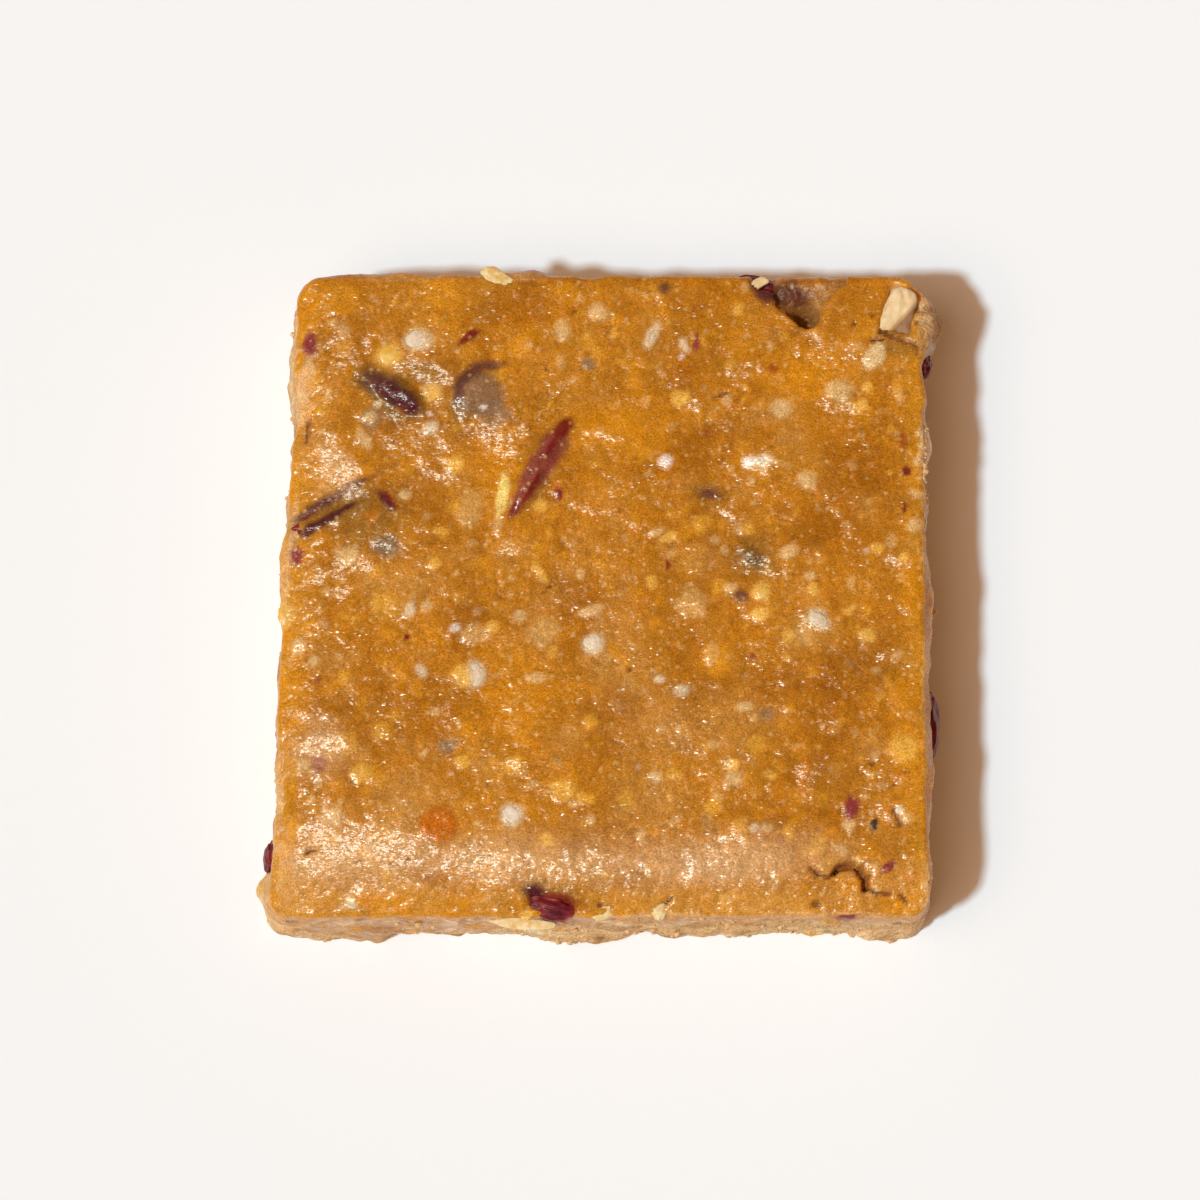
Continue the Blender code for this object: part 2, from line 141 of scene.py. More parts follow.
# Where the skin has torn away from the back edge: its outline, counter-clockwise
NOTCH = (
    mm(12.2, 32.2), mm(13.0, 31.0), mm(14.6, 30.2), mm(16.2, 29.2), mm(17.1, 27.6), mm(18.2, 26.8),
    mm(19.3, 26.1), mm(20.6, 25.9), mm(21.2, 26.8), mm(21.5, 28.4), mm(23.0, 29.8), mm(24.8, 30.9),
    mm(25.6, 32.2),
)
# The notch's floor: its own depth, and the dips and the hole in it as place, reach and further depth
NOTCH_DEPTH = 0.45 * MM
NOTCH_WALL = 0.28 * MM
# the painted shade in the notch is darkest at this depth
NOTCH_DARKEST = 3.2 * MM
NOTCH_DIPS = (
    (mm(15.4, 30.4), 3.0 * MM, 1.6 * MM),
    (mm(19.4, 27.3), 2.1 * MM, 2.6 * MM),
    (mm(17.6, 28.9), 1.5 * MM, 0.9 * MM),
)
# Its outline wobbles, and its floor has lumps and grains: crest to crest, and how far
NOTCH_WOBBLE_X = (1.3 * MM, 0.35 * MM)
NOTCH_WOBBLE_Y = (1.1 * MM, 0.35 * MM)
NOTCH_LUMP = (1.6 * MM, 0.4 * MM)
NOTCH_GRAIN = (0.7 * MM, 0.3 * MM)

# A cut in the top: path, half width, depth
Crack = namedtuple("Crack", "path half_width depth")
CRACKS = (
    Crack((mm(19.7, -26.7), mm(20.5, -27.4), mm(21.5, -27.6), mm(22.3, -26.9)), 0.2 * MM, 0.7 * MM),
    Crack(
        (mm(22.3, -26.8), mm(23.6, -26.5), mm(24.5, -27.0), mm(24.9, -27.6), mm(25.1, -28.5)),
        0.42 * MM, 1.4 * MM,
    ),
    Crack((mm(25.1, -28.6), mm(26.1, -29.1), mm(27.4, -29.1)), 0.22 * MM, 0.8 * MM),
    Crack((mm(28.3, -29.2), mm(28.9, -29.9)), 0.18 * MM, 0.6 * MM),
    Crack((mm(30.5, 29.0), mm(30.6, 26.5), mm(30.7, 23.6)), 0.28 * MM, 0.6 * MM),
    Crack((mm(26.9, 25.6), mm(28.2, 25.1), mm(29.5, 24.5), mm(31.0, 23.8)), 0.28 * MM, 0.6 * MM),
    Crack((mm(-28.4, -25.3), mm(-27.5, -25.0)), 0.18 * MM, 0.4 * MM),
    Crack((mm(-28.5, 16.9), mm(-28.6, 15.7), mm(-28.6, 14.5)), 0.18 * MM, 0.5 * MM),
    Crack((mm(26.0, 24.6), mm(26.4, 24.9), mm(27.0, 24.7)), 0.18 * MM, 0.4 * MM),
    Crack((mm(10.8, 19.2), mm(11.3, 19.3), mm(11.9, 19.5)), 0.2 * MM, 0.5 * MM),
    Crack((mm(27.8, -21.2), mm(28.0, -21.9), mm(28.4, -22.6)), 0.22 * MM, 0.6 * MM),
    Crack((mm(-0.5, -30.2), mm(0.6, -30.4)), 0.2 * MM, 0.5 * MM),
    Crack((mm(5.4, -30.4), mm(6.4, -29.6)), 0.2 * MM, 0.5 * MM),
)

# A piece of dried fruit: centre, half sizes, heading and dip in degrees, sideways bend of its middle
Fruit = namedtuple("Fruit", "name at half_size heading dip bend")
FRUITS = (
    Fruit("fruit_strip", mm(-6.0, 12.2, 14.15), mm(5.2, 1.15, 0.8), 61, 0, 0.5 * MM),
    Fruit("fruit_left_fold", mm(-25.3, 7.85, 13.6), mm(4.8, 1.6, 1.2), 22, 3, -0.7 * MM),
    Fruit("fruit_upper_left", mm(-19.9, 19.3, 14.05), mm(3.0, 1.35, 0.9), -33, 4, 0.3 * MM),
    Fruit("fruit_disc", mm(-12.3, 19.6, 14.1), mm(2.6, 2.1, 0.7), 35, 0, 0.2 * MM),
    Fruit("fruit_front", mm(-5.0, -30.0, 12.4), mm(2.7, 1.35, 1.25), -14, 0, -0.3 * MM),
    Fruit("fruit_back", mm(15.1, 29.9, 11.9), mm(3.1, 1.25, 0.9), -20, 3, 0.4 * MM),
    Fruit("fruit_corner", mm(31.1, 22.9, 10.6), mm(1.2, 1.0, 1.9), 80, 0, 0.1 * MM),
    Fruit("fruit_right_side", mm(31.4, -12.0, 8.2), mm(3.3, 1.4, 2.2), 90, 0, 0.3 * MM),
    Fruit("fruit_left_side", mm(-31.85, -25.0, 8.4), mm(1.7, 0.75, 2.2), 84, 0, 0.2 * MM),
)

Chip = namedtuple("Chip", "name at half_size heading tilt")
CHIPS = (
    Chip("nut_chunk", mm(28.75, 27.8, 13.1), mm(1.65, 2.4, 1.6), -14, 7),
    Chip("nut_flake", mm(15.0, 30.5, 13.75), mm(0.95, 0.5, 0.35), 32, 0),
)
CHIP_SQUARENESS = 4.5
CHIP_TAPER = 0.22
# How uneven a chip is, as shares of its half size: how many lumps fit in it and their height, and its grain
CHIP_LUMPS = ((1.3, 0.13), (3.0, 0.06))
CHIP_GRAIN = (0.125, 0.02)
CHIP_CUTS = 29
# The chunk is broken to a lower facet, right of a line: a place on it and its heading, then the step's width
# and its depth
FACET_LINE = (mm(28.3, 26.2), 47)
FACET_EDGE = 0.25 * MM
FACET_DROP = 0.6 * MM
# The skin leaves the chunk bare: how far it dips there, and how much of the chunk's width that takes
CHUNK_DIP = 0.9 * MM
CHUNK_BARE = 0.92

# Where the paste's skin leaves the fruit bare: path, half width, how far the skin dips below the fruit
Opening = namedtuple("Opening", "path half_width dip")
OPENINGS = (
    # the piece at the front edge
    Opening((mm(-6.6, -29.7), mm(-5.0, -30.0), mm(-3.4, -30.4)), 0.55 * MM, 0.35 * MM),
)
# The film of paste over the fruit, how softly it runs into the skin, and how deep fruit may lie to lift it
FILM = 0.22 * MM
FILM_BLEND = 0.3 * MM
LIFTING_DEPTH = 1.2 * MM


# The edges of openings, cracks, rubbed patches and gleams are ragged: crest to crest, and share of the reach
OPENING_RAGGED = (0.9 * MM, 0.2)
CRACK_RAGGED = (0.7 * MM, 0.9)
RUBBED_RAGGED = (0.9 * MM, 0.8)
GLEAM_RAGGED = (1.3 * MM, 0.9)
# A crack is deep up to this many half widths, and darkened with painted shade a little further
CRACK_DEEP = 1.25
CRACK_DARK = 1.5
# A crease fades out at this many half lengths along it, and half widths across
CREASE_FADE = (1.2, 1.4)


# ---- what the paste is painted with

# How an inclusion shows through the skin: colour, strength, softness of its edge, how far it lifts the skin
Look = namedtuple("Look", "colour strength soft rise")
LOOKS = {
    "puff": Look("#F4DCCB", 0.86, 0.4, 0.08 * MM),
    "millet": Look("#EEB24A", 0.82, 0.4, 0.09 * MM),
    "deep_millet": Look("#D98F1E", 0.74, 0.6, 0.04 * MM),
    "soft_millet": Look("#E0A034", 0.74, 0.5, 0.06 * MM),
    "pale": Look("#E2B87C", 0.75, 0.42, 0.06 * MM),
    "oat": Look("#D39E56", 0.72, 0.34, 0.08 * MM),
    "orange": Look("#CE7A1C", 0.7, 0.5, 0.05 * MM),
    "nugget": Look("#CC6E16", 0.95, 0.25, 0.36 * MM),
    "sliver": Look("#F2CF74", 0.92, 0.3, 0.1 * MM),
    "skin": Look("#7E1C1A", 0.95, 0.26, 0.03 * MM),
    "soft_skin": Look("#9A4418", 0.78, 0.5, 0.02 * MM),
    "plum": Look("#63352F", 0.84, 0.6, 0.03 * MM),
    "cherry": Look("#4C1626", 0.9, 0.5, 0.04 * MM),
    "cherry_film": Look("#8E4036", 0.85, 0.4, 0.03 * MM),
    "red_film": Look("#7A1616", 0.9, 0.35, 0.03 * MM),
    "puff_halo": Look("#E6C8A0", 0.85, 0.4, 0.07 * MM),
    "bead_halo": Look("#EEB454", 0.85, 0.35, 0.06 * MM),
    "nut": Look("#E8C68E", 0.86, 0.3, 0.1 * MM),
    "seed": Look("#2E2823", 0.96, 0.22, 0.05 * MM),
    "ghost": Look("#8A6028", 0.6, 0.62, 0.0),
    "dark_ghost": Look("#5A4224", 0.72, 0.6, 0.02 * MM),
    "grey_ghost": Look("#8E6E52", 0.8, 0.4, 0.02 * MM),
    "disc": Look("#8A6A4E", 0.8, 0.16, 0.03 * MM),
    # haze: milky clots in the paste; where it is laid over the gleams it is painted sheen
    "haze": Look("#CC9044", 0.5, 0.75, 0.0),
    # painted sheen where the skin gleams in the light, over a milky film
    "milk_and_sheen": Look("#DDAE7C", 0.42, 0.9, 0.0),
    "berry": Look("#8C2E36", 0.92, 0.35, 0.04 * MM),
    # glow: painted glow of light shining through the translucent paste
    "glow": Look("#D08410", 0.75, 0.65, 0.0),
    "dark": Look("#9A5606", 0.5, 0.6, 0.0),
    # a small dent, painted dark with the shade that falls in it
    "shaded_pit": Look("#6A380A", 0.8, 0.4, -0.12 * MM),
    "fibre": Look("#F0D6AA", 0.7, 0.4, 0.05 * MM),
    "bran": Look("#A56A30", 0.6, 0.45, 0.0),
    "bark": Look("#A8763C", 0.75, 0.35, 0.0),
    "flake": Look("#F6DEB0", 0.9, 0.2, 0.15 * MM),
}

# Inclusions in the top, by look: x, y, half length, half width in mm, and heading in degrees unless it is 0
SPOTS = {
    "ghost": (
        (-22.6, 7.0, 3.4, 2.6, 20), (-26.2, 7.9, 3.6, 1.5, 24), (-17.4, 21.6, 2.3, 1.1),
        (14.5, 3.6, 2.3, 2.0), (10.2, 9.5, 1.8, 1.2, -20), (-6.0, 12.3, 4.6, 1.3, 62),
        (-19.6, 19.0, 2.7, 1.4, -33), (-4.6, -29.2, 2.9, 1.2, -14), (-13.6, 18.0, 1.2, 1.0),
        (28.7, 24.0, 2.0, 0.8), (-20.4, 17.6, 1.2, 1.3),
    ),
    "grey_ghost": (
        (-20.9, 4.4, 1.3, 1.0), (-10.4, 17.4, 1.8, 1.2, -20), (-22.5, 17.1, 1.1, 1.0, -60),
        (15.6, -11.9, 0.9, 0.7), (-15.0, -15.0, 0.9, 0.7), (-1.5, 22.4, 0.7, 0.6),
    ),
    "disc": ((-12.0, 19.4, 2.2, 2.2),),
    "dark_ghost": (
        (-22.4, 20.7, 1.6, 1.2, -25), (-20.6, 19.5, 2.9, 1.4, -36), (14.4, 3.2, 1.2, 0.8, -30),
    ),
    # most of these haze spots lie where the skin gleams: painted sheen there, milky clots elsewhere
    "haze": (
        (1.1, -7.2, 2.4, 4.2), (9.3, 3.2, 2.1, 1.5), (-9.1, 4.1, 1.4, 0.9, 10), (-6.0, -3.5, 1.9, 1.8),
        (19.8, -3.9, 2.4, 2.0), (-27.6, 14.0, 2.2, 3.0, 40), (-20.0, 0.6, 3.4, 2.2),
        (-4.0, -27.0, 6.0, 1.6), (11.0, -26.0, 7.0, 1.7), (-24.0, -26.0, 5.5, 2.6),
        (-10.0, -25.6, 5.0, 2.0), (-27.0, -15.0, 3.0, 2.4), (17.2, 18.0, 2.0, 1.4), (4.5, -12.5, 3.4, 3.4),
        (-18.6, -20.3, 3.8, 3.2), (4.5, -20.3, 3.6, 2.8), (12.2, -12.5, 3.6, 3.0), (26.0, -28.4, 5.0, 2.4),
        (12.0, -30.0, 9.0, 1.3), (-20.0, -29.9, 10.0, 1.4), (-29.0, -28.5, 2.4, 2.2),
    ),
    # painted glow of light through the paste, mostly along the thin edges
    "glow": (
        (29.8, 0.2, 1.2, 2.2), (27.7, -30.0, 1.8, 0.8), (-29.6, -12.0, 1.2, 7.0), (23.9, -28.3, 1.3, 0.8),
        (-22.1, -29.8, 1.5, 0.9), (-19.0, -30.2, 1.4, 0.8), (-14.2, -30.4, 1.8, 0.8),
        (-28.5, 27.5, 1.6, 1.6), (28.9, -13.0, 1.4, 4.0), (-8.0, -11.0, 3.4, 3.0), (2.0, 16.0, 5.0, 3.0),
        (20.0, 21.0, 4.0, 2.4), (-10.0, 13.0, 2.6, 3.4),
    ),
    "dark": (
        (1.0, -11.5, 2.6, 2.2), (-13.0, -3.0, 2.0, 3.0, 20), (21.0, 7.0, 3.4, 2.8),
        (9.0, 14.5, 3.0, 1.6, 30), (16.5, -9.0, 2.6, 1.8), (23.0, -8.0, 2.6, 3.2), (-9.0, 27.6, 4.0, 1.6),
        (-2.0, -1.0, 2.6, 1.2, 20), (24.0, 12.0, 3.0, 3.0),
    ),
    "deep_millet": (
        (-15.0, 12.7, 0.7, 0.7), (-25.3, 28.9, 1.6, 1.6), (-16.0, 29.1, 1.8, 1.5), (-25.0, 24.0, 0.8, 0.8),
        (3.8, 13.7, 0.8, 0.8), (1.8, 16.3, 0.8, 0.8), (-21.8, 1.7, 0.7, 0.6), (-19.6, -8.3, 0.7, 0.7),
        (-21.1, -6.7, 0.6, 0.6), (-6.5, 4.1, 0.6, 0.7), (1.2, -6.0, 1.4, 0.6, -50), (17.8, -11.4, 0.5, 0.5),
        (-22.1, -17.8, 1.4, 1.2), (28.9, -15.2, 1.5, 1.5), (11.1, -6.6, 1.6, 1.6), (-30.4, -9.0, 0.9, 0.9),
        (-3.9, 29.6, 1.0, 0.8), (-8.0, 24.0, 0.9, 0.8),
    ),
    "millet": (
        (28.8, -15.1, 1.35, 1.3), (-14.2, 12.6, 0.75, 0.7), (-13.5, -8.2, 1.0, 1.0),
        (-23.2, -17.6, 0.9, 0.8), (7.4, 19.0, 0.9, 0.8), (25.5, 20.2, 0.5, 0.5), (24.8, 18.2, 0.9, 0.6, 40),
        (-16.2, 2.8, 0.7, 0.5), (-6.0, 8.4, 0.7, 0.6), (-6.1, 1.9, 1.1, 0.4, -55), (4.7, 0.8, 0.5, 0.7),
        (6.4, 5.4, 0.8, 0.5, 20), (20.2, 0.3, 0.5, 0.6), (17.7, -4.4, 0.6, 0.7), (25.4, -4.2, 0.8, 0.7),
        (-13.6, -16.5, 0.7, 0.7), (-3.9, -19.2, 1.2, 1.0), (26.4, 4.2, 0.6, 0.6), (-10.6, -3.4, 0.6, 0.6),
    ),
    "soft_millet": (
        (-21.1, -1.2, 1.3, 1.2), (13.9, 6.2, 0.7, 0.6), (-24.7, -14.8, 1.0, 1.0),
        (-1.7, -20.0, 0.9, 0.6, -20), (-8.6, -16.8, 0.9, 0.9), (6.7, -17.6, 0.7, 0.6),
        (10.4, -20.9, 0.8, 0.8), (14.6, -14.8, 0.9, 0.8), (13.0, -22.6, 0.7, 0.7), (-1.2, -12.6, 0.8, 0.8),
        (2.1, -20.0, 0.8, 0.8), (20.6, -24.6, 0.8, 0.8), (-21.2, -13.6, 0.9, 0.8),
    ),
    "pale": (
        (-16.6, 19.6, 0.9, 0.8), (-22.5, 17.2, 0.6, 0.6), (-23.1, 14.9, 1.2, 0.5, -60),
        (-3.9, 25.6, 0.7, 0.7), (-0.6, 27.5, 0.9, 0.8), (17.2, 18.0, 0.9, 0.9), (22.8, 19.7, 1.2, 1.0),
        (19.6, 11.0, 0.9, 0.9), (-24.7, 3.6, 1.1, 0.9), (-19.1, 9.5, 0.6, 0.5), (-17.0, -1.4, 0.5, 0.5),
        (-29.3, -5.2, 0.7, 0.8), (-8.1, -2.4, 0.6, 0.6), (-6.5, -8.4, 0.9, 0.5), (17.9, 3.9, 0.9, 0.6, 15),
        (19.9, 1.6, 0.5, 0.5), (29.9, 6.5, 0.7, 0.7), (13.6, -11.2, 0.8, 0.5), (-28.8, -16.8, 0.6, 0.6),
        (3.6, -23.5, 0.6, 0.4, 70), (5.0, -18.0, 0.6, 0.6), (23.5, -22.6, 0.7, 0.6),
        (-25.9, -21.8, 1.2, 1.0), (-1.2, -1.8, 1.2, 0.45, 20), (12.4, -18.2, 0.9, 0.8),
        (25.9, -28.9, 0.6, 0.5), (12.3, 0.4, 0.6, 0.5), (-27.8, -6.7, 0.5, 0.5), (15.6, -22.9, 0.6, 0.4),
        (28.9, -22.0, 0.6, 0.5),
    ),
    "oat": (
        (-12.8, 8.2, 1.9, 1.2, 85), (8.5, -1.2, 1.5, 1.5), (-5.8, -3.8, 1.4, 1.3), (10.4, -6.2, 0.6, 1.2),
        (-12.3, -4.1, 1.4, 1.0, 10), (19.3, -4.2, 1.1, 1.0), (17.4, 12.6, 1.0, 0.3, -20),
    ),
    "orange": (
        (-22.4, 7.4, 0.6, 0.6), (-0.4, 7.2, 0.4, 0.3), (28.6, -17.9, 0.8, 0.5), (19.2, -18.2, 1.9, 0.5, 86),
        (-4.4, 10.1, 0.7, 0.6, 60), (-19.5, 17.9, 0.7, 0.5),
    ),
    "skin": (
        (29.2, 11.9, 0.45, 0.45), (-18.9, -4.4, 0.3, 0.3), (6.2, 2.6, 0.5, 0.22, 90),
        (29.0, 8.2, 0.5, 0.22, 80), (23.2, -31.3, 1.2, 0.25, 8), (-4.3, 9.6, 0.45, 0.6),
        (-20.6, 9.0, 1.1, 0.3, -50), (-13.0, 25.1, 1.2, 0.4, 35),
    ),
    "soft_skin": (
        (10.0, 15.6, 0.3, 0.4), (16.4, 22.0, 0.4, 0.6, 60), (28.9, 15.0, 0.4, 0.9), (-27.5, -8.5, 0.3, 0.4),
        (14.2, -6.3, 0.4, 0.4), (16.9, -24.0, 0.4, 0.4),
    ),
    "plum": (
        (5.9, 29.9, 0.7, 0.6), (13.3, -0.4, 0.7, 0.6), (10.3, 9.6, 1.0, 0.5, -15),
        (-26.2, 9.1, 3.2, 0.5, 27), (-28.3, 7.9, 1.6, 0.5, 35), (-23.8, 10.7, 1.6, 0.3, 20),
        (-14.0, 19.4, 1.5, 0.55, 82), (-12.9, 21.4, 1.6, 0.6, 38), (-11.0, 22.2, 1.3, 0.55),
        (-21.9, 20.6, 1.5, 0.9, -35), (18.8, 29.0, 1.2, 0.9, 20),
    ),
    "cherry_film": (
        (-4.8, 14.2, 1.9, 1.15, 52), (-5.9, 12.6, 2.3, 1.15, 62), (-7.1, 10.7, 2.2, 0.95, 62),
        (-8.3, 8.6, 1.5, 0.6, 62),
    ),
    "red_film": (
        (-3.9, 16.0, 1.2, 0.7, 48), (-8.7, 7.9, 0.8, 0.35, 58), (-5.0, 14.2, 1.2, 0.3, 62),
        (-6.9, 10.2, 1.6, 0.25, 62), (-4.7, -30.0, 2.5, 1.0, -12),
    ),
    "berry": (
        (-28.5, 24.3, 0.7, 1.2), (23.7, -20.9, 1.1, 0.75, 80), (-27.3, -16.7, 0.8, 0.75),
        (-29.6, 3.6, 0.7, 0.9), (-18.7, 18.2, 0.6, 0.5), (9.0, 24.5, 0.8, 0.32, 90),
        (27.2, -26.7, 0.8, 0.42, 35),
    ),
    # painted sheen: these lie on the gleaming stretches at the front and left, over a milky film
    "milk_and_sheen": (
        (-24.0, -25.5, 6.4, 2.8), (-10.0, -25.6, 7.0, 2.2), (4.0, -26.2, 7.0, 2.0), (15.0, -25.4, 6.0, 2.2),
        (11.0, -27.0, 5.0, 1.2), (-27.4, -15.5, 2.6, 2.4), (-25.6, 11.8, 2.2, 1.4, 125),
    ),
    "cherry": (
        (-20.5, 19.5, 1.5, 0.9, -34), (-19.0, 18.5, 1.4, 1.1, -30), (-28.3, 6.1, 1.2, 0.5, 35),
        (-26.5, 7.1, 1.6, 0.5, 30), (17.6, 29.7, 1.8, 1.0, -15), (-21.1, 9.0, 1.3, 0.34, -50),
        (-6.6, -29.0, 1.0, 0.7, -10), (15.6, 29.6, 1.6, 0.9, -35), (-24.7, 8.2, 0.9, 0.3, 30),
    ),
    # small dents, darkened with painted shade
    "shaded_pit": (
        (-5.5, 21.9, 0.2, 0.2), (-5.2, 0.5, 0.22, 0.22), (25.4, 22.2, 0.3, 0.2, 40),
        (24.3, 26.4, 0.22, 0.22), (2.5, -7.6, 0.22, 0.22), (-23.5, -26.1, 0.3, 0.2),
        (-20.3, -26.5, 0.25, 0.2), (-18.6, -25.9, 0.3, 0.2, 30), (27.9, -18.7, 0.25, 0.2),
        (20.3, -30.1, 0.5, 0.4),
    ),
    "puff": (
        (14.1, 12.7, 0.7, 0.6, 40), (6.0, 12.8, 0.7, 0.6), (-14.3, -3.5, 0.5, 0.4),
        (-11.6, 18.1, 0.35, 0.25),
    ),
    "nut": ((26.3, 23.3, 1.3, 0.9, 65),),
    "nugget": ((-15.8, -22.6, 1.75, 1.6, 20),),
    "sliver": ((-9.7, 9.6, 2.2, 0.55, 80),),
    "seed": ((25.9, -22.6, 0.55, 0.42, 80),),
}

# Crisp grains set into the top as pieces of their own: x, y, half length, half width in mm, heading
PUFFS = (
    (-18.0, 24.8, 1.08, 1.0, 0), (-21.8, 18.4, 0.35, 0.33, 0), (-16.8, 16.0, 0.62, 0.55, 20),
    (4.7, 25.2, 1.0, 0.5, 65), (7.8, 24.2, 0.62, 0.34, -60), (15.4, 12.8, 0.8, 0.6, 10),
    (-18.6, -1.8, 0.6, 0.48, 90), (-17.5, -7.7, 0.7, 0.4, -60), (-12.3, -8.1, 0.8, 1.15, 0),
    (-1.0, -5.0, 0.95, 0.88, 30), (-8.8, -21.6, 1.0, 0.92, 0), (5.4, -8.5, 0.4, 0.36, 0),
    (20.6, -2.7, 0.95, 0.65, -40), (14.4, -22.9, 0.42, 0.35, 0), (7.5, -9.6, 0.6, 0.5, 0),
    (-24.2, -30.1, 0.55, 0.32, -30), (28.3, -21.2, 0.42, 0.36, 0),
)
BEADS = (
    (-20.8, 23.3, 1.05, 1.0, 0), (-13.5, -8.2, 0.62, 0.9, 0), (15.2, 0.0, 0.74, 0.74, 0),
    (15.0, -2.1, 0.66, 0.62, 0), (-5.4, -24.1, 0.56, 0.5, 0), (-30.6, -2.1, 0.75, 1.05, 0),
    (-16.5, 19.5, 0.72, 0.6, 20), (12.4, -16.8, 0.5, 0.5, 0), (-7.4, -31.2, 0.5, 0.45, 0),
)

# Rolled oat flakes at the back and front edges, and a round one
OATS = (
    (-10.2, 31.0, 1.9, 0.75, -30), (0.5, -30.6, 1.7, 0.62, 34), (-7.6, -31.9, 3.2, 0.5, -4),
    (5.3, -30.5, 1.15, 0.75, 85),
)

# Inclusions in the sides: look, side, along it, height, half length, half height in mm
SIDE_SPOTS = (
    ("bark", "right", 26.4, 9.5, 3.6, 5.0), ("flake", "front", -8.1, 3.9, 2.9, 0.55),
    ("millet", "left", -27.2, 8.0, 1.3, 1.7), ("fibre", "right", 13.0, 13.0, 3.2, 0.6),
    ("flake", "front", 22.0, 4.0, 1.6, 0.5), ("oat", "left", 10.0, 6.0, 2.4, 0.7),
    ("flake", "right", -18.0, 6.0, 2.0, 0.5), ("cherry_film", "back", -18.0, 6.0, 2.0, 0.8),
    ("millet", "back", 6.0, 9.0, 1.1, 0.9), ("oat", "back", -4.0, 5.0, 2.6, 0.8),
    ("cherry_film", "left", 2.0, 10.0, 1.4, 0.5), ("flake", "back", 22.0, 4.0, 2.2, 0.5),
)

# Crumbs on the cut sides: how many, half sizes, and how many more at the torn stretch of the right edge
CRUMBS = 420
CRUMB_HALF = (0.1 * MM, 0.34 * MM)
# They keep off the rounded corners, and gather at these heights, as shares of the bar's
CRUMB_SPREAD = 0.9
CRUMB_HEIGHTS = (0.02, 0.1, 0.3, 0.6, 0.8)
# A crumb's middle lies at least this many half sizes above the floor, lumps and all
CRUMB_CLEARANCE = 2.0
FRINGE_CRUMBS = 90
FRINGE_Y = (9.0 * MM, 16.8 * MM)
FRINGE_HEIGHTS = (0.78, 0.97)

# The paste takes up the colour of a crisp grain this far out, as a share of its size
HALO = 1.18

# A short crease that catches the light: x, y, half length, half width in mm, heading, height in mm
CREASES = (
    (15.0, 2.6, 2.0, 0.4, -30, 0.16), (13.6, 4.3, 1.5, 0.3, -32, 0.1), (12.4, 7.6, 1.6, 0.3, -25, 0.14),
    (10.5, 8.2, 0.5, 0.3, 0, 0.1), (20.5, -2.8, 1.2, 0.5, -40, 0.14), (21.8, -5.0, 0.6, 0.3, -20, 0.1),
    (-9.2, 4.1, 1.2, 0.4, -10, 0.1), (-1.4, 7.9, 1.2, 0.2, -10, 0.08), (2.4, 6.0, 0.5, 0.2, -30, 0.08),
    (0.0, 15.3, 1.9, 0.2, -15, 0.08), (6.7, 16.7, 0.7, 0.2, -20, 0.08), (8.8, 18.1, 0.5, 0.25, -30, 0.1),
    (-27.9, 5.0, 1.4, 0.25, 25, 0.12), (-25.9, 4.4, 0.9, 0.22, 10, 0.1), (-25.4, 2.1, 2.6, 0.25, 12, 0.12),
    (-25.1, 0.3, 1.3, 0.22, 15, 0.1), (-28.7, -2.2, 1.1, 0.22, 20, 0.1), (-20.8, 4.6, 0.9, 0.3, -30, 0.12),
    (28.2, 3.2, 0.5, 0.25, -30, 0.1), (26.9, 1.9, 0.5, 0.25, -30, 0.1), (27.1, -6.2, 0.7, 0.3, 30, 0.1),
    (-20.4, -2.3, 0.5, 0.25, 0, 0.1), (-12.8, -4.4, 0.8, 0.3, -20, 0.1), (8.0, -2.0, 0.8, 0.3, -20, 0.1),
    (-7.8, -16.7, 0.6, 0.3, 0, 0.1), (-0.8, -19.6, 0.6, 0.16, -50, 0.07),
    (-0.1, -21.0, 0.9, 0.16, -75, 0.07), (-26.5, 23.0, 1.6, 0.3, -35, 0.1),
    (-17.2, 21.3, 1.6, 0.4, -10, 0.1), (-19.2, 17.7, 0.4, 0.25, -20, 0.1), (17.4, 17.9, 0.7, 0.4, 0, 0.1),
    (17.4, 12.7, 1.0, 0.14, -10, 0.08), (12.3, -16.4, 0.8, 0.25, -30, 0.12),
    (19.1, -17.6, 0.6, 0.25, -60, 0.1), (11.9, -18.6, 0.7, 0.25, 20, 0.1),
    (-10.9, 20.2, 0.9, 0.3, -30, 0.1),
)

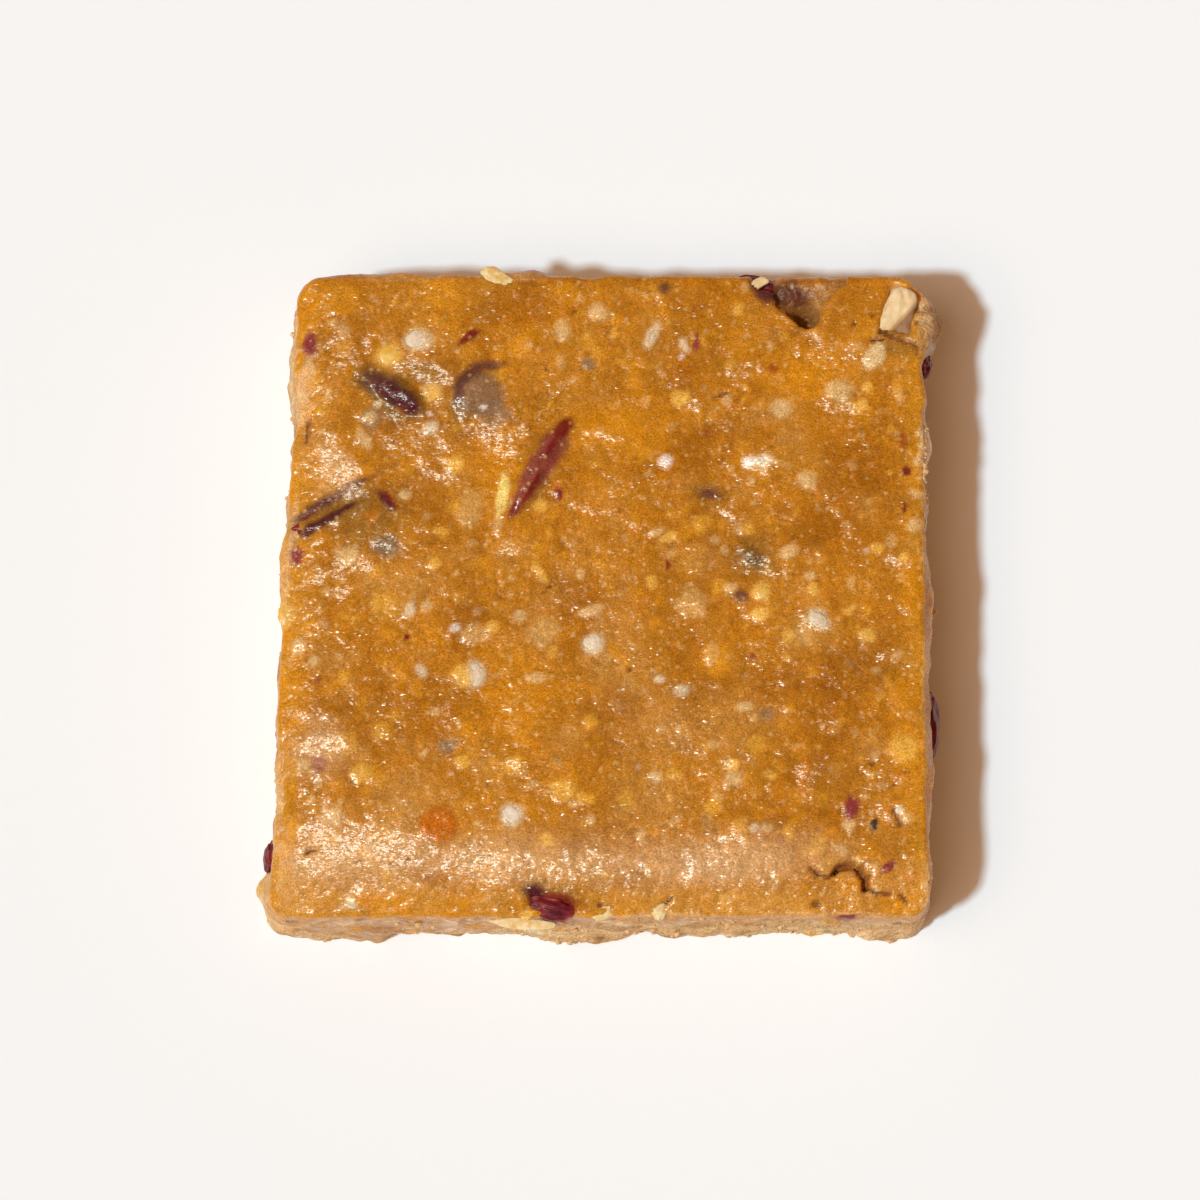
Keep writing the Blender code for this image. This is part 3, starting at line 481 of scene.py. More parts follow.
# Where the skin is wet with oil and finely wrinkled: x, y, half length, half width in mm, heading, wetness
GLEAMS = (
    (-25.0, 23.9, 2.4, 1.5, -20, 0.9), (-25.2, 11.7, 3.2, 1.6, 125, 1.0), (-17.2, 21.6, 2.8, 1.3, -25, 0.9),
    (-19.3, 18.2, 1.4, 0.9, -30, 0.9), (-10.9, 15.6, 2.6, 1.2, -20, 0.8), (-17.0, 11.8, 2.2, 0.5, -25, 0.9),
    (-17.0, 14.2, 4.5, 2.0, -20, 0.5), (8.8, 18.2, 1.0, 0.6, -30, 0.9), (0.0, 15.3, 2.0, 0.4, -15, 0.9),
    (-9.0, 15.6, 2.2, 0.7, 0, 0.8), (6.0, 12.9, 0.9, 0.7, 0, 0.8), (15.0, 12.8, 1.8, 0.9, 0, 0.8),
    (22.5, 18.4, 2.2, 0.9, -20, 0.7), (13.7, 22.0, 1.6, 0.9, 0, 0.7), (15.0, 2.7, 2.4, 0.7, -30, 1.0),
    (12.3, 7.8, 1.9, 0.5, -25, 0.9), (20.4, -2.8, 1.7, 1.2, -30, 0.9), (-27.0, -24.2, 2.3, 1.9, 0, 1.0),
    (-22.6, -26.6, 6.8, 1.7, -3, 1.0), (-21.8, -24.2, 4.2, 1.7, -8, 0.8), (-12.8, -26.4, 3.2, 1.7, 0, 0.8),
    (-4.0, -26.8, 6.0, 1.4, 0, 0.5), (9.7, -25.6, 3.0, 1.8, 0, 0.5), (-27.9, 5.0, 1.8, 0.5, 25, 1.0),
    (-25.5, 2.1, 3.2, 0.8, 12, 0.9), (-25.1, 0.3, 1.5, 0.5, 15, 0.9), (-28.7, -2.2, 1.3, 0.5, 20, 0.9),
    (-27.6, -14.9, 2.6, 0.9, 10, 0.7), (-9.1, 4.1, 1.4, 0.7, 0, 0.8), (8.5, -1.4, 1.6, 1.0, -20, 0.6),
    (-12.2, -4.3, 1.5, 0.8, 0, 0.7), (27.1, -6.2, 1.0, 0.5, 30, 0.8), (-20.8, 4.8, 1.6, 0.8, -20, 0.9),
    (3.6, 6.0, 1.8, 0.6, -25, 0.6), (-0.4, 7.9, 1.6, 0.4, -10, 0.8), (12.4, -16.6, 1.2, 0.6, 0, 0.7),
    (-8.2, -16.6, 1.0, 0.6, 0, 0.7), (19.2, -17.8, 0.8, 1.6, 0, 0.7), (28.5, 3.0, 1.4, 0.8, 0, 0.7),
    (20.0, 27.4, 2.2, 1.4, 0, 0.9), (26.0, -21.5, 2.6, 1.6, 0, 0.4), (-26.4, -29.4, 3.0, 0.8, 0, 0.5),
    (22.5, 23.5, 3.0, 1.6, -30, 0.5), (-29.4, 20.0, 1.2, 2.6, 0, 0.5),
)
# How far the skin leans where it gleams: it lies in small shingles that all face the front left
GLEAM_LEAN = (-0.17, -0.18, 0.0)
# Everywhere else the skin is this wet, and up to this much wetter in blotches this far apart
WETNESS = 0.2
BLOTCH_WETNESS = 0.55
BLOTCH_START = 0.35
WET_BLOTCH = 4.2 * MM

# Small inclusions strewn through the top and the sides: look, how many, half sizes in mm
TOP_SCATTER = (
    ("haze", 170, 0.6, 1.6),
    ("dark", 380, 0.3, 1.3),
    # painted glow of light through the paste, strewn at random
    ("glow", 210, 0.4, 1.3),
    ("deep_millet", 300, 0.3, 0.95),
    ("soft_millet", 170, 0.25, 0.8),
    ("pale", 360, 0.15, 0.6),
    ("millet", 60, 0.3, 0.65),
    ("orange", 40, 0.2, 0.5),
    ("puff", 40, 0.1, 0.3),
    ("soft_skin", 22, 0.12, 0.3),
    # dents strewn over the top, darkened with painted shade
    ("shaded_pit", 70, 0.12, 0.24),
)
SIDE_SCATTER = (
    ("fibre", 420, 0.3, 1.4),
    ("bran", 420, 0.3, 1.5),
    ("pale", 160, 0.3, 1.0),
    ("millet", 70, 0.4, 1.0),
    ("puff", 60, 0.3, 0.9),
    ("oat", 60, 0.5, 1.4),
    # dents in the cut sides, darkened with painted shade
    ("shaded_pit", 160, 0.2, 0.6),
    ("soft_skin", 12, 0.3, 0.7),
)


# ---- nodes and materials


def set_inputs(tree, node, inputs):
    """Fills the inputs of a node: a socket is linked, and any other value is set."""
    for key, value in inputs.items():
        if isinstance(value, bpy.types.NodeSocket):
            tree.links.new(value, node.inputs[key])
        else:
            node.inputs[key].default_value = value


def add_node(tree, kind, inputs, output=0, **settings):
    """Adds a node with its settings and inputs, and gives the one output that is wanted."""
    made = tree.nodes.new(kind)
    for key, value in settings.items():
        setattr(made, key, value)
    set_inputs(tree, made, inputs)
    return made.outputs[output]


# How rough each noise is: the grain of the paste, and the lumpier one of grains, fruit, nut and card
FINE_NOISE = {"Detail": 2.0, "Roughness": 0.6}
LUMPY_NOISE = {"Detail": 3.0, "Roughness": 0.6}
# The gloss of the oily skin, where it gleams, and of the dry cut paste
SKIN_ROUGHNESS = 0.24
GLEAM_ROUGHNESS = 0.27
CUT_ROUGHNESS = 0.8
# The wrinkles of the skin run this way, and are drawn out this much along it
STREAK_TURN = math.radians(20)
STREAK_SCALE = (0.45, 1.0, 1.0)

# Places of the sockets of a Mix node that mixes colours
MIX_SHARE, MIX_BELOW, MIX_ABOVE, MIXED_COLOUR = 0, 6, 7, 2


def new_material(name):
    """A material with an empty Principled shader, with its tree, shader and place in metres."""
    made = bpy.data.materials.new(name)
    made.use_nodes = True
    tree = made.node_tree
    return made, tree, tree.nodes["Principled BSDF"], add_node(tree, "ShaderNodeTexCoord", {}, "Object")


def paste_material(settings):
    """Pressed nut and date paste: oily and translucent, so its colour glows and its skin glints.

    Where the paste is cut or torn it is dry, matt and pale.
    """
    made, tree, shader, place = new_material("pressed_nut_paste")
    colour = add_node(tree, "ShaderNodeAttribute", {}, "Color", attribute_name="tint")
    raw = add_node(tree, "ShaderNodeAttribute", {}, "Fac", attribute_name="raw")
    wet = add_node(tree, "ShaderNodeAttribute", {}, "Fac", attribute_name="wet")

    # 2.6 mm clots of the mash, 0.6 mm grains, and the grind of 0.1 mm, which is drawn at 0.15 mm to show
    for size, swing in ((2.6 * MM, 0.12), (0.6 * MM, 0.13), (0.15 * MM, 0.32)):
        inputs = {"Vector": place, "Scale": 1 / size, **FINE_NOISE}
        pattern = add_node(tree, "ShaderNodeTexNoise", inputs, "Fac")
        ends = {"To Min": 1 - swing, "To Max": 1 + swing}
        inputs = {"Value": pattern, "From Min": 0.3, "From Max": 0.7, **ends}
        value = add_node(tree, "ShaderNodeMapRange", inputs, "Result")
        colour = add_node(tree, "ShaderNodeHueSaturation", {"Value": value, "Color": colour}, "Color")

    # pale ground nut: specks about 0.3 mm across, in nearly half of the 0.8 mm cells
    cells = add_node(tree, "ShaderNodeTexVoronoi", {"Vector": place, "Scale": 1 / (0.8 * MM)}, "Distance")
    inputs = {"Value": cells, "From Min": 0.14, "From Max": 0.34, "To Min": settings.speckle, "To Max": 0.0}
    speck = add_node(tree, "ShaderNodeMapRange", inputs, "Result")
    chance = add_node(tree, "ShaderNodeSeparateColor", {"Color": cells.node.outputs["Color"]}, "Red")
    inputs = {"Value": chance, "From Min": 0.55, "From Max": 0.95, "To Min": 0.0, "To Max": speck}
    share = add_node(tree, "ShaderNodeMapRange", inputs, "Result")
    inputs = {MIX_SHARE: share, MIX_BELOW: colour, MIX_ABOVE: linear("#EBC27C")}
    colour = add_node(tree, "ShaderNodeMix", inputs, MIXED_COLOUR, data_type="RGBA")

    # the press has drawn the skin's wrinkles out along one way
    inputs = {"Vector": place, "Rotation": (0.0, 0.0, STREAK_TURN), "Scale": STREAK_SCALE}
    streaked = add_node(tree, "ShaderNodeMapping", inputs, "Vector")

    # the skin has 3 mm swells, 1.2 mm waves and 0.22 mm wrinkles, which are steeper where it is wet;
    # the crumb of the cut paste is 0.6 mm
    inputs = {"Value": wet, "From Min": 0.0, "From Max": 1.0, "To Min": 0.3, "To Max": 0.75}
    wrinkled = add_node(tree, "ShaderNodeMapRange", inputs, "Result")
    normal = add_node(tree, "ShaderNodeNewGeometry", {}, "Normal")
    layers = (
        (place, 3.0 * MM, 0.3 * MM, 1.0),
        (place, 1.2 * MM, 0.14 * MM, 1.0),
        (streaked, 0.22 * MM, 0.05 * MM, wrinkled),
        (place, 0.6 * MM, 0.35 * MM, raw),
    )
    for at, size, height, share in layers:
        inputs = {"Vector": at, "Scale": 1 / size, **FINE_NOISE}
        pattern = add_node(tree, "ShaderNodeTexNoise", inputs, "Fac")
        relief = add_node(tree, "ShaderNodeMath", {0: pattern, 1: share}, operation="MULTIPLY")
        inputs = {"Height": relief, "Distance": height, "Normal": normal}
        normal = add_node(tree, "ShaderNodeBump", inputs, "Normal")

    # facets 0.13 mm across, a third of them with a lean of their own: those that face the light glint
    cells = add_node(tree, "ShaderNodeTexVoronoi", {"Vector": streaked, "Scale": 1 / (0.13 * MM)}, "Color")
    chance = add_node(tree, "ShaderNodeSeparateColor", {"Color": cells}, "Blue")
    inputs = {"Value": wet, "From Min": 0.1, "From Max": 1.0, "To Min": 0.2, "To Max": 1.0}
    most = add_node(tree, "ShaderNodeMapRange", inputs, "Result")
    inputs = {"Value": chance, "From Min": 0.66, "From Max": 0.82, "To Min": 0.1, "To Max": most}
    amount = add_node(tree, "ShaderNodeMapRange", inputs, "Result")
    inputs = {0: cells, 1: (0.5, 0.5, 0.5)}
    lean = add_node(tree, "ShaderNodeVectorMath", inputs, operation="SUBTRACT")
    lean = add_node(tree, "ShaderNodeVectorMath", {0: lean, "Scale": amount}, operation="SCALE")
    normal = add_node(tree, "ShaderNodeVectorMath", {0: normal, 1: lean}, operation="ADD")
    gleam = add_node(tree, "ShaderNodeAttribute", {}, "Fac", attribute_name="gleam")
    lean = add_node(tree, "ShaderNodeVectorMath", {0: GLEAM_LEAN, "Scale": gleam}, operation="SCALE")
    normal = add_node(tree, "ShaderNodeVectorMath", {0: normal, 1: lean}, operation="ADD")
    normal = add_node(tree, "ShaderNodeVectorMath", {0: normal}, operation="NORMALIZE")

    ends = {"To Min": SKIN_ROUGHNESS, "To Max": GLEAM_ROUGHNESS}
    inputs = {"Value": gleam, "From Min": 0.0, "From Max": 1.0, **ends}
    skin_roughness = add_node(tree, "ShaderNodeMapRange", inputs, "Result")
    ends = {"To Min": skin_roughness, "To Max": CUT_ROUGHNESS}
    inputs = {"Value": raw, "From Min": 0.0, "From Max": 1.0, **ends}
    values = {
        "Base Color": colour,
        "Roughness": add_node(tree, "ShaderNodeMapRange", inputs, "Result"),
        "IOR": 1.47,
        # the oil on the skin is yellow, and warms the gleam
        "Specular Tint": linear("#FFEED6"),
        "Metallic": 0.0,
        "Normal": normal,
        "Subsurface Weight": settings.translucency,
        "Subsurface Radius": (1.0, 0.42, 0.14),
        "Subsurface Scale": settings.glow_depth,
    }
    set_inputs(tree, shader, values)
    return made


def patterned_material(name, colours, size, bump_height, values, rim_colour=None):
    """A material whose two colours and relief follow one noise of this size, with other values as given.

    The rim of a grain, where the skin of the paste covers it, can have a colour of its own; on the nut the
    same colour paints its lower facet, brown skin with painted shade.
    """
    made, tree, shader, place = new_material(name)
    inputs = {"Vector": place, "Scale": 1 / size, **LUMPY_NOISE}
    pattern = add_node(tree, "ShaderNodeTexNoise", inputs, "Fac")
    inputs = {"Value": pattern, "From Min": 0.36, "From Max": 0.64, "To Min": 0.0, "To Max": 1.0}
    share = add_node(tree, "ShaderNodeMapRange", inputs, "Result")
    inputs = {MIX_SHARE: share, MIX_BELOW: colours[0], MIX_ABOVE: colours[1]}
    colour = add_node(tree, "ShaderNodeMix", inputs, MIXED_COLOUR, data_type="RGBA")
    if rim_colour:
        rim = add_node(tree, "ShaderNodeAttribute", {}, "Fac", attribute_name="rim")
        inputs = {"Value": rim, "From Min": 0.5, "From Max": 1.0, "To Min": 0.0, "To Max": 0.9}
        covered = add_node(tree, "ShaderNodeMapRange", inputs, "Result")
        inputs = {MIX_SHARE: covered, MIX_BELOW: colour, MIX_ABOVE: rim_colour}
        colour = add_node(tree, "ShaderNodeMix", inputs, MIXED_COLOUR, data_type="RGBA")
    inputs = {"Vector": place, "Scale": 2.5 / size, **LUMPY_NOISE}
    grain = add_node(tree, "ShaderNodeTexNoise", inputs, "Fac")
    normal = add_node(tree, "ShaderNodeBump", {"Height": grain, "Distance": bump_height}, "Normal")
    set_inputs(tree, shader, {"Base Color": colour, "Metallic": 0.0, "Normal": normal, **values})
    return made


# ---- shapes


def ripple(point, size, height):
    """Smooth relief of this height, with crests about this far apart."""
    return height * noise.noise(Vector(point) / size)


def fade(distance, reach):
    """1 at the middle, easing to 0 at reach."""
    share = min(abs(distance) / reach, 1.0)
    return (1 - share * share) ** 2


def soft_edge(distance, soft):
    """1 inside, 0 outside, easing over this softness round a distance of 1."""
    share = min(max((1 + soft - distance) / (2 * soft), 0.0), 1.0)
    return share * share * (3 - 2 * share)


def blend_colour(below, above, share):
    """One linear colour laid over another."""
    return tuple(low + (high - low) * share for low, high in zip(below, above))


def from_path(path, x, y):
    """How far this point is from a path over the top."""
    point = Vector((x, y))
    nearest = math.inf
    for start, end in zip(path, path[1:]):
        along = end - start
        share = min(max((point - start).dot(along) / along.length_squared, 0.0), 1.0)
        nearest = min(nearest, (point - start - along * share).length)
    return nearest


def turned(x, y, heading):
    """A level offset seen along a heading in degrees: how far along it, and how far to its left."""
    angle = math.radians(heading)
    return x * math.cos(angle) + y * math.sin(angle), y * math.cos(angle) - x * math.sin(angle)


def left_x(y):
    """The left face isn't square to the front: the bar is narrower at the back."""
    share = (y - FRONT_Y) / (BACK_Y - FRONT_Y)
    return LEFT_X_FRONT + (LEFT_X_BACK - LEFT_X_FRONT) * share


def rounded_rectangle(u, v, half_x, half_y):
    """Where the point (u, v) of a -1..1 square lands in a rectangle with round corners."""
    x, y = u * half_x, v * half_y
    radius = CORNER_RADIUS["front" if v < 0 else "back", "left" if u < 0 else "right"]
    core_x = max(-half_x + radius, min(half_x - radius, x))
    core_y = max(-half_y + radius, min(half_y - radius, y))
    over_x, over_y = x - core_x, y - core_y
    length = math.hypot(over_x, over_y)
    if length == 0:
        return x, y
    pull = max(abs(over_x), abs(over_y)) / length
    return core_x + over_x * pull, core_y + over_y * pull


def plan_point(u, v, inset):
    """A point of the slab's plan, u to the right and v to the back, from -1 to 1."""
    half_y = (BACK_Y - FRONT_Y) / 2 - inset
    half_x = (RIGHT_X - (LEFT_X_FRONT + LEFT_X_BACK) / 2) / 2 - inset
    x, y = rounded_rectangle(u, v, half_x, half_y)
    y += (FRONT_Y + BACK_Y) / 2
    share = (x + half_x) / (2 * half_x)
    low, high = left_x(y) + inset, RIGHT_X - inset
    return low + (high - low) * share, y


def pressed_height(x, y):
    """Height of the pressed top: level in the middle, soft rolls at the edges, slight relief."""
    inward = {"front": y - FRONT_Y, "left": x - left_x(y), "right": RIGHT_X - x, "back": BACK_Y - y}
    drop = sum(
        ROLL_DROP[side] * max(0.0, 1 - inward[side] / ROLL_WIDTH[side]) ** 2
        for side in inward
    )
    corner, reach, depth = SUNKEN_CORNER
    drop += depth * max(0.0, 1 - (Vector((x, y)) - corner).length / reach) ** 1.5
    drop += SLUMP_SLOPE * max(0.0, SLUMP_X - x) * min(max((SLUMP_START_Y - y) / SLUMP_EASE, 0.0), 1.0)
    return HEIGHT - drop + ripple((x, y, 0), *TOP_WAVE) + ripple((x, y, HEIGHT), *TOP_DIMPLE)


def fruit_top(fruit, x, y):
    """Height of the top of a piece of fruit at this point, or None beside it."""
    along, across = turned(x - fruit.at.x, y - fruit.at.y, fruit.heading)
    share = along / fruit.half_size.x
    if abs(share) >= 1:
        return None
    across -= fruit.bend * (1 - share * share)
    rest = 1 - share * share - (across / fruit.half_size.y) ** 2
    if rest <= 0:
        return None
    return fruit.at.z + fruit.half_size.z * math.sqrt(rest)


def openness(x, y):
    """How bare the fruit is at this point, and how far the skin dips there."""
    bare, dip = 0.0, 0.0
    for opening in OPENINGS:
        reach = from_path(opening.path, x, y) / opening.half_width
        if reach > 2:
            continue
        ragged = reach * (1 + ripple((x, y, 0), *OPENING_RAGGED))
        share = soft_edge(ragged, 0.4)
        if share > bare:
            bare, dip = share, opening.dip
    return bare, dip


def within(outline, x, y):
    """True where the point lies inside an outline."""
    inside = False
    for start, end in zip(outline, outline[1:] + outline[:1]):
        if (start.y > y) == (end.y > y):
            continue
        if x < start.x + (end.x - start.x) * (y - start.y) / (end.y - start.y):
            inside = not inside
    return inside


def notch_depth(x, y):
    """How deep the torn notch is at this point."""
    x += ripple((x, y, 0), *NOTCH_WOBBLE_X)
    y += ripple((y, x, 0), *NOTCH_WOBBLE_Y)
    if not within(NOTCH, x, y):
        return 0.0
    depth = NOTCH_DEPTH + ripple((x, y, 0), *NOTCH_LUMP) + ripple((x, y, 0), *NOTCH_GRAIN)
    for at, reach, further in NOTCH_DIPS:
        depth += further * fade((Vector((x, y)) - at).length, reach)
    return max(0.0, depth) * (1 - fade(from_path(NOTCH, x, y), NOTCH_WALL))


Skin = namedtuple("Skin", "z notch crack")


def skin_at(x, y):
    """The paste's skin at a point: its height, how deep the notch is, and how much of a crack it is."""
    z = pressed_height(x, y)
    for fruit in FRUITS:
        top = fruit_top(fruit, x, y)
        if top is not None and fruit.at.z > HEIGHT - LIFTING_DEPTH:
            lift = max(0.0, min(1.0, 0.5 + (top + FILM - z) / (2 * FILM_BLEND)))
            z += (top + FILM - z) * lift + FILM_BLEND * lift * (1 - lift)
    bare, dip = openness(x, y)
    z -= (FILM + dip) * bare
    for x_mm, y_mm, half_length, half_width, heading, height in CREASES:
        if abs(x / MM - x_mm) + abs(y / MM - y_mm) < 2 * half_length:
            along, across = turned(x / MM - x_mm, y / MM - y_mm, heading)
            near = fade(along, half_length * CREASE_FADE[0]) * fade(across, half_width * CREASE_FADE[1])
            z += height * MM * near
    cracked = 0.0
    for crack in CRACKS:
        reach = from_path(crack.path, x, y) / crack.half_width
        if reach < 1.8:
            reach *= 1 + ripple((x, y, 0), *CRACK_RAGGED)
            z -= crack.depth * fade(reach, CRACK_DEEP)
            cracked = max(cracked, fade(reach, CRACK_DARK))
    chunk = CHIPS[0]
    along, across = turned(x - chunk.at.x, y - chunk.at.y, chunk.heading)
    span = max(abs(along) / chunk.half_size.x, abs(across) / chunk.half_size.y) / CHUNK_BARE
    z -= CHUNK_DIP * soft_edge(span, 0.08)
    notch = notch_depth(x, y)
    return Skin(z - notch, notch, cracked)


def raw_patch(x, y):
    """How much of the skin is rubbed off at this point."""
    raw = 0.0
    for x_mm, y_mm, half_length, half_width, heading, share in RAW_PATCHES:
        along, across = turned(x / MM - x_mm, y / MM - y_mm, heading)
        distance = math.hypot(along / half_length, across / half_width)
        if distance < 2:
            distance *= 1 + ripple((x, y, 0), *RUBBED_RAGGED)
            raw = max(raw, share * soft_edge(distance, 0.35))
    return raw


def lobes_out(x, y, z, outward, lobes=LOBES):
    """How far the lobes push the side out at this point, which faces along outward."""
    facing = {"right": outward.x, "left": -outward.x, "front": -outward.y, "back": outward.y}
    along = {"right": y, "left": y, "front": x, "back": x}
    reach = 0.0
    for lobe in lobes:
        near = fade(along[lobe.side] - lobe.along, lobe.half_length)
        near *= fade(z - lobe.height, lobe.half_height)
        reach += lobe.out * near * max(0.0, facing[lobe.side])
    return reach


# ---- the paste

# Cells across the top, even so that the underside can have half as many
TOP_CELLS = 232
UNDERSIDE_CELLS = TOP_CELLS // 2
EDGE_TURNS = (18, 36, 54, 72, 90)
SIDE_RINGS = 26
UNDERSIDE_INSET = 1.6 * MM
# The rim runs in and out: crest to crest, and how far
RIM_WAVE = (2.6 * MM, 0.3 * MM)
RIM_NICK = (0.8 * MM, 0.09 * MM)
# A lobe that stands out this far is half as craggy, and its rim is raw
LOBE_CALM = 0.9 * MM
# Relief finer than that of the solids: crest to crest, and height
TOP_RIPPLE = (1.3 * MM, 0.05 * MM)
TOP_GRAIN = (0.6 * MM, 0.02 * MM)
SIDE_LUMP = (1.5 * MM, 0.26 * MM)
SIDE_GRAIN = (0.8 * MM, 0.14 * MM)
SIDE_LUMP_FLATNESS = 1.8
UNDERSIDE_HOLLOW = (4.0 * MM, 0.5 * MM)
UNDERSIDE_PIT = (1.2 * MM, 0.2 * MM)
# The hollows of the underside start where their wave is this high
UNDERSIDE_LEVEL = 0.08 * MM
# The underside and the floor of the notch are this raw
INNER_RAW = 0.35
# The skin ends this far down a side as a share, over an ease, in waves and nicks: crest to crest, and share
SKIN_END = 0.1
SKIN_END_EASE = 0.14
SKIN_END_WAVE = (3.0 * MM, 0.28)
SKIN_END_NICK = (1.0 * MM, 0.12)
# The rounded edge is rubbed from this far round it, in patches: crest to crest, and how much they differ
RUB_START = 0.75
RUB_PATCH = (2.0 * MM, 1.6)

# What a vertex of the paste is: its place, the way out of the paste there, how raw it is, how far down the
# side it is as a share, and how much it belongs to the floor of the notch and to a crack
Vertex = namedtuple("Vertex", "at out raw down sunk crack", defaults=(0.0, 0.0))


def rim_cells(cells):
    """Grid places round the rim of a square grid, counter-clockwise from the front left corner."""
    steps = range(cells)
    rim = [(step, 0) for step in steps]
    rim += [(cells, step) for step in steps]
    rim += [(cells - step, cells) for step in steps]
    rim += [(0, cells - step) for step in steps]
    return rim


def top_vertices():
    """The pressed top, row by row from the front."""
    made = []
    for row in range(TOP_CELLS + 1):
        for column in range(TOP_CELLS + 1):
            x, y = plan_point(2 * column / TOP_CELLS - 1, 2 * row / TOP_CELLS - 1, EDGE_RADIUS)
            skin = skin_at(x, y)
            z = skin.z + ripple((x, y, 0), *TOP_RIPPLE) + ripple((x, y, 1), *TOP_GRAIN)
            sunk = min(1.0, skin.notch / NOTCH_DARKEST)
            raw = max(min(INNER_RAW, 2 * sunk), 0.9 * skin.crack, raw_patch(x, y))
            made.append(Vertex(Vector((x, y, z)), Vector((0, 0, 1)), raw, 0.0, sunk, skin.crack))
    return made


def side_vertices(rim):
    """The rings of the rounded edge and of the cut sides, from the top down."""
    outwards = []
    for index in range(len(rim)):
        along = rim[(index + 1) % len(rim)] - rim[index - 1]
        outwards.append(Vector((along.y, -along.x, 0)).normalized())
    made = []
    for turn in map(math.radians, EDGE_TURNS):
        for start, outward in zip(rim, outwards):
            at = start + outward * EDGE_RADIUS * math.sin(turn)
            at.z = start.z - EDGE_RADIUS * (1 - math.cos(turn))
            wavy = ripple((at.x, at.y, 0), *RIM_WAVE) + ripple((at.x, at.y, 1), *RIM_NICK)
            at += outward * (lobes_out(*at, outward) + wavy) * math.sin(turn)
            ragged = 0.5 + ripple(at, *RUB_PATCH)
            raw = max(0.0, math.sin(turn) - RUB_START) * max(0.0, ragged) + raw_patch(at.x, at.y)
            raw = min(1.0, raw + max(0.0, lobes_out(*at, outward)) / LOBE_CALM)
            made.append(Vertex(at, outward * math.sin(turn) + Vector((0, 0, math.cos(turn))), raw, 0.0))
    edge = [vertex.at for vertex in made[-len(rim):]]
    for ring in range(1, SIDE_RINGS + 1):
        down = ring / SIDE_RINGS
        for at, outward in zip(edge, outwards):
            z = at.z * (1 - down)
            crag = ripple((at.x, at.y, SIDE_CRAG_FLATNESS * z), *SIDE_CRAG)
            bulge = lobes_out(at.x, at.y, z, outward)
            # a lobe's face is smoother than the rest of the cut
            rough = min(1.0, 5 * down) / (1 + (bulge / LOBE_CALM) ** 2)
            crag += ripple((at.x, at.y, SIDE_LUMP_FLATNESS * z), *SIDE_LUMP) * rough
            crag += ripple((at.x, at.y, SIDE_LUMP_FLATNESS * z), *SIDE_GRAIN) * rough
            swell = bulge - lobes_out(*at, outward)
            swell += lobes_out(at.x, at.y, z, outward, LEDGES) - lobes_out(*at, outward, LEDGES)
            place = at + outward * (crag + swell)
            place.z = z
            ragged = ripple((at.x, at.y, 0), *SKIN_END_WAVE) + ripple((at.x, at.y, 0), *SKIN_END_NICK)
            hang = HANG_DOWN * fade(at.x - HANG_X, HANG_HALF) * max(0.0, -outward.y)
            raw = min(1.0, max(0.0, (down - SKIN_END - hang + ragged) / SKIN_END_EASE))
            made.append(Vertex(place, outward, raw, down))
    return made


def underside_vertices():
    """The inner vertices of the flat underside, row by row, with small hollows pressed into it."""
    made = []
    for row in range(1, UNDERSIDE_CELLS):
        for column in range(1, UNDERSIDE_CELLS):
            u, v = 2 * column / UNDERSIDE_CELLS - 1, 2 * row / UNDERSIDE_CELLS - 1
            x, y = plan_point(u, v, UNDERSIDE_INSET)
            z = max(0.0, ripple((x, y, -HEIGHT), *UNDERSIDE_HOLLOW) - UNDERSIDE_LEVEL)
            z += max(0.0, ripple((x, y, -HEIGHT), *UNDERSIDE_PIT))
            made.append(Vertex(Vector((x, y, z)), Vector((0, 0, -1)), INNER_RAW, 1.0))
    return made


def paste_faces():
    """The faces that join the top, the rings and the underside into one closed skin."""
    across = TOP_CELLS + 1
    faces = []
    for row in range(TOP_CELLS):
        for column in range(TOP_CELLS):
            corner = row * across + column
            faces.append((corner, corner + 1, corner + across + 1, corner + across))

    around = 4 * TOP_CELLS
    first = across * across
    rings = [[row * across + column for column, row in rim_cells(TOP_CELLS)]]
    for ring in range(len(EDGE_TURNS) + SIDE_RINGS):
        start = first + ring * around
        rings.append(list(range(start, start + around)))
    for upper, lower in zip(rings, rings[1:]):
        for index in range(around):
            ahead = (index + 1) % around
            faces.append((upper[index], lower[index], lower[ahead], upper[ahead]))

    inner = first + around * (len(EDGE_TURNS) + SIDE_RINGS)
    grid = {}
    for index, cell in enumerate(rim_cells(UNDERSIDE_CELLS)):
        grid[cell] = rings[-1][2 * index]
    for row in range(1, UNDERSIDE_CELLS):
        for column in range(1, UNDERSIDE_CELLS):
            grid[(column, row)] = inner + (row - 1) * (UNDERSIDE_CELLS - 1) + column - 1
    order = {vertex: index for index, vertex in enumerate(rings[-1])}
    for row in range(UNDERSIDE_CELLS):
        for column in range(UNDERSIDE_CELLS):
            corners = [(column, row), (column + 1, row), (column + 1, row + 1), (column, row + 1)]
            loop = []
            for here, ahead in zip(corners, corners[1:] + corners[:1]):
                loop.append(grid[here])
                if grid[here] in order and grid[ahead] in order:
                    step = (order[grid[ahead]] - order[grid[here]]) % around
                    if step == 2:
                        loop.append(rings[-1][(order[grid[here]] + 1) % around])
            faces.append(tuple(reversed(loop)))
    return faces


# An inclusion under the skin: its look, centre, long and short way, half sizes, share of the look's strength
Inclusion = namedtuple("Inclusion", "look at along across half_length half_width share")


def on_top(look, x, y, half_length, half_width, heading, share):
    """An inclusion in the top, from millimetres."""
    place = mm(x, y)
    at = Vector((place.x, place.y, skin_at(place.x, place.y).z))
    angle = math.radians(heading)
    along = Vector((math.cos(angle), math.sin(angle), 0))
    across = Vector((-math.sin(angle), math.cos(angle), 0))
    return Inclusion(look, at, along, across, half_length * MM, half_width * MM, share)


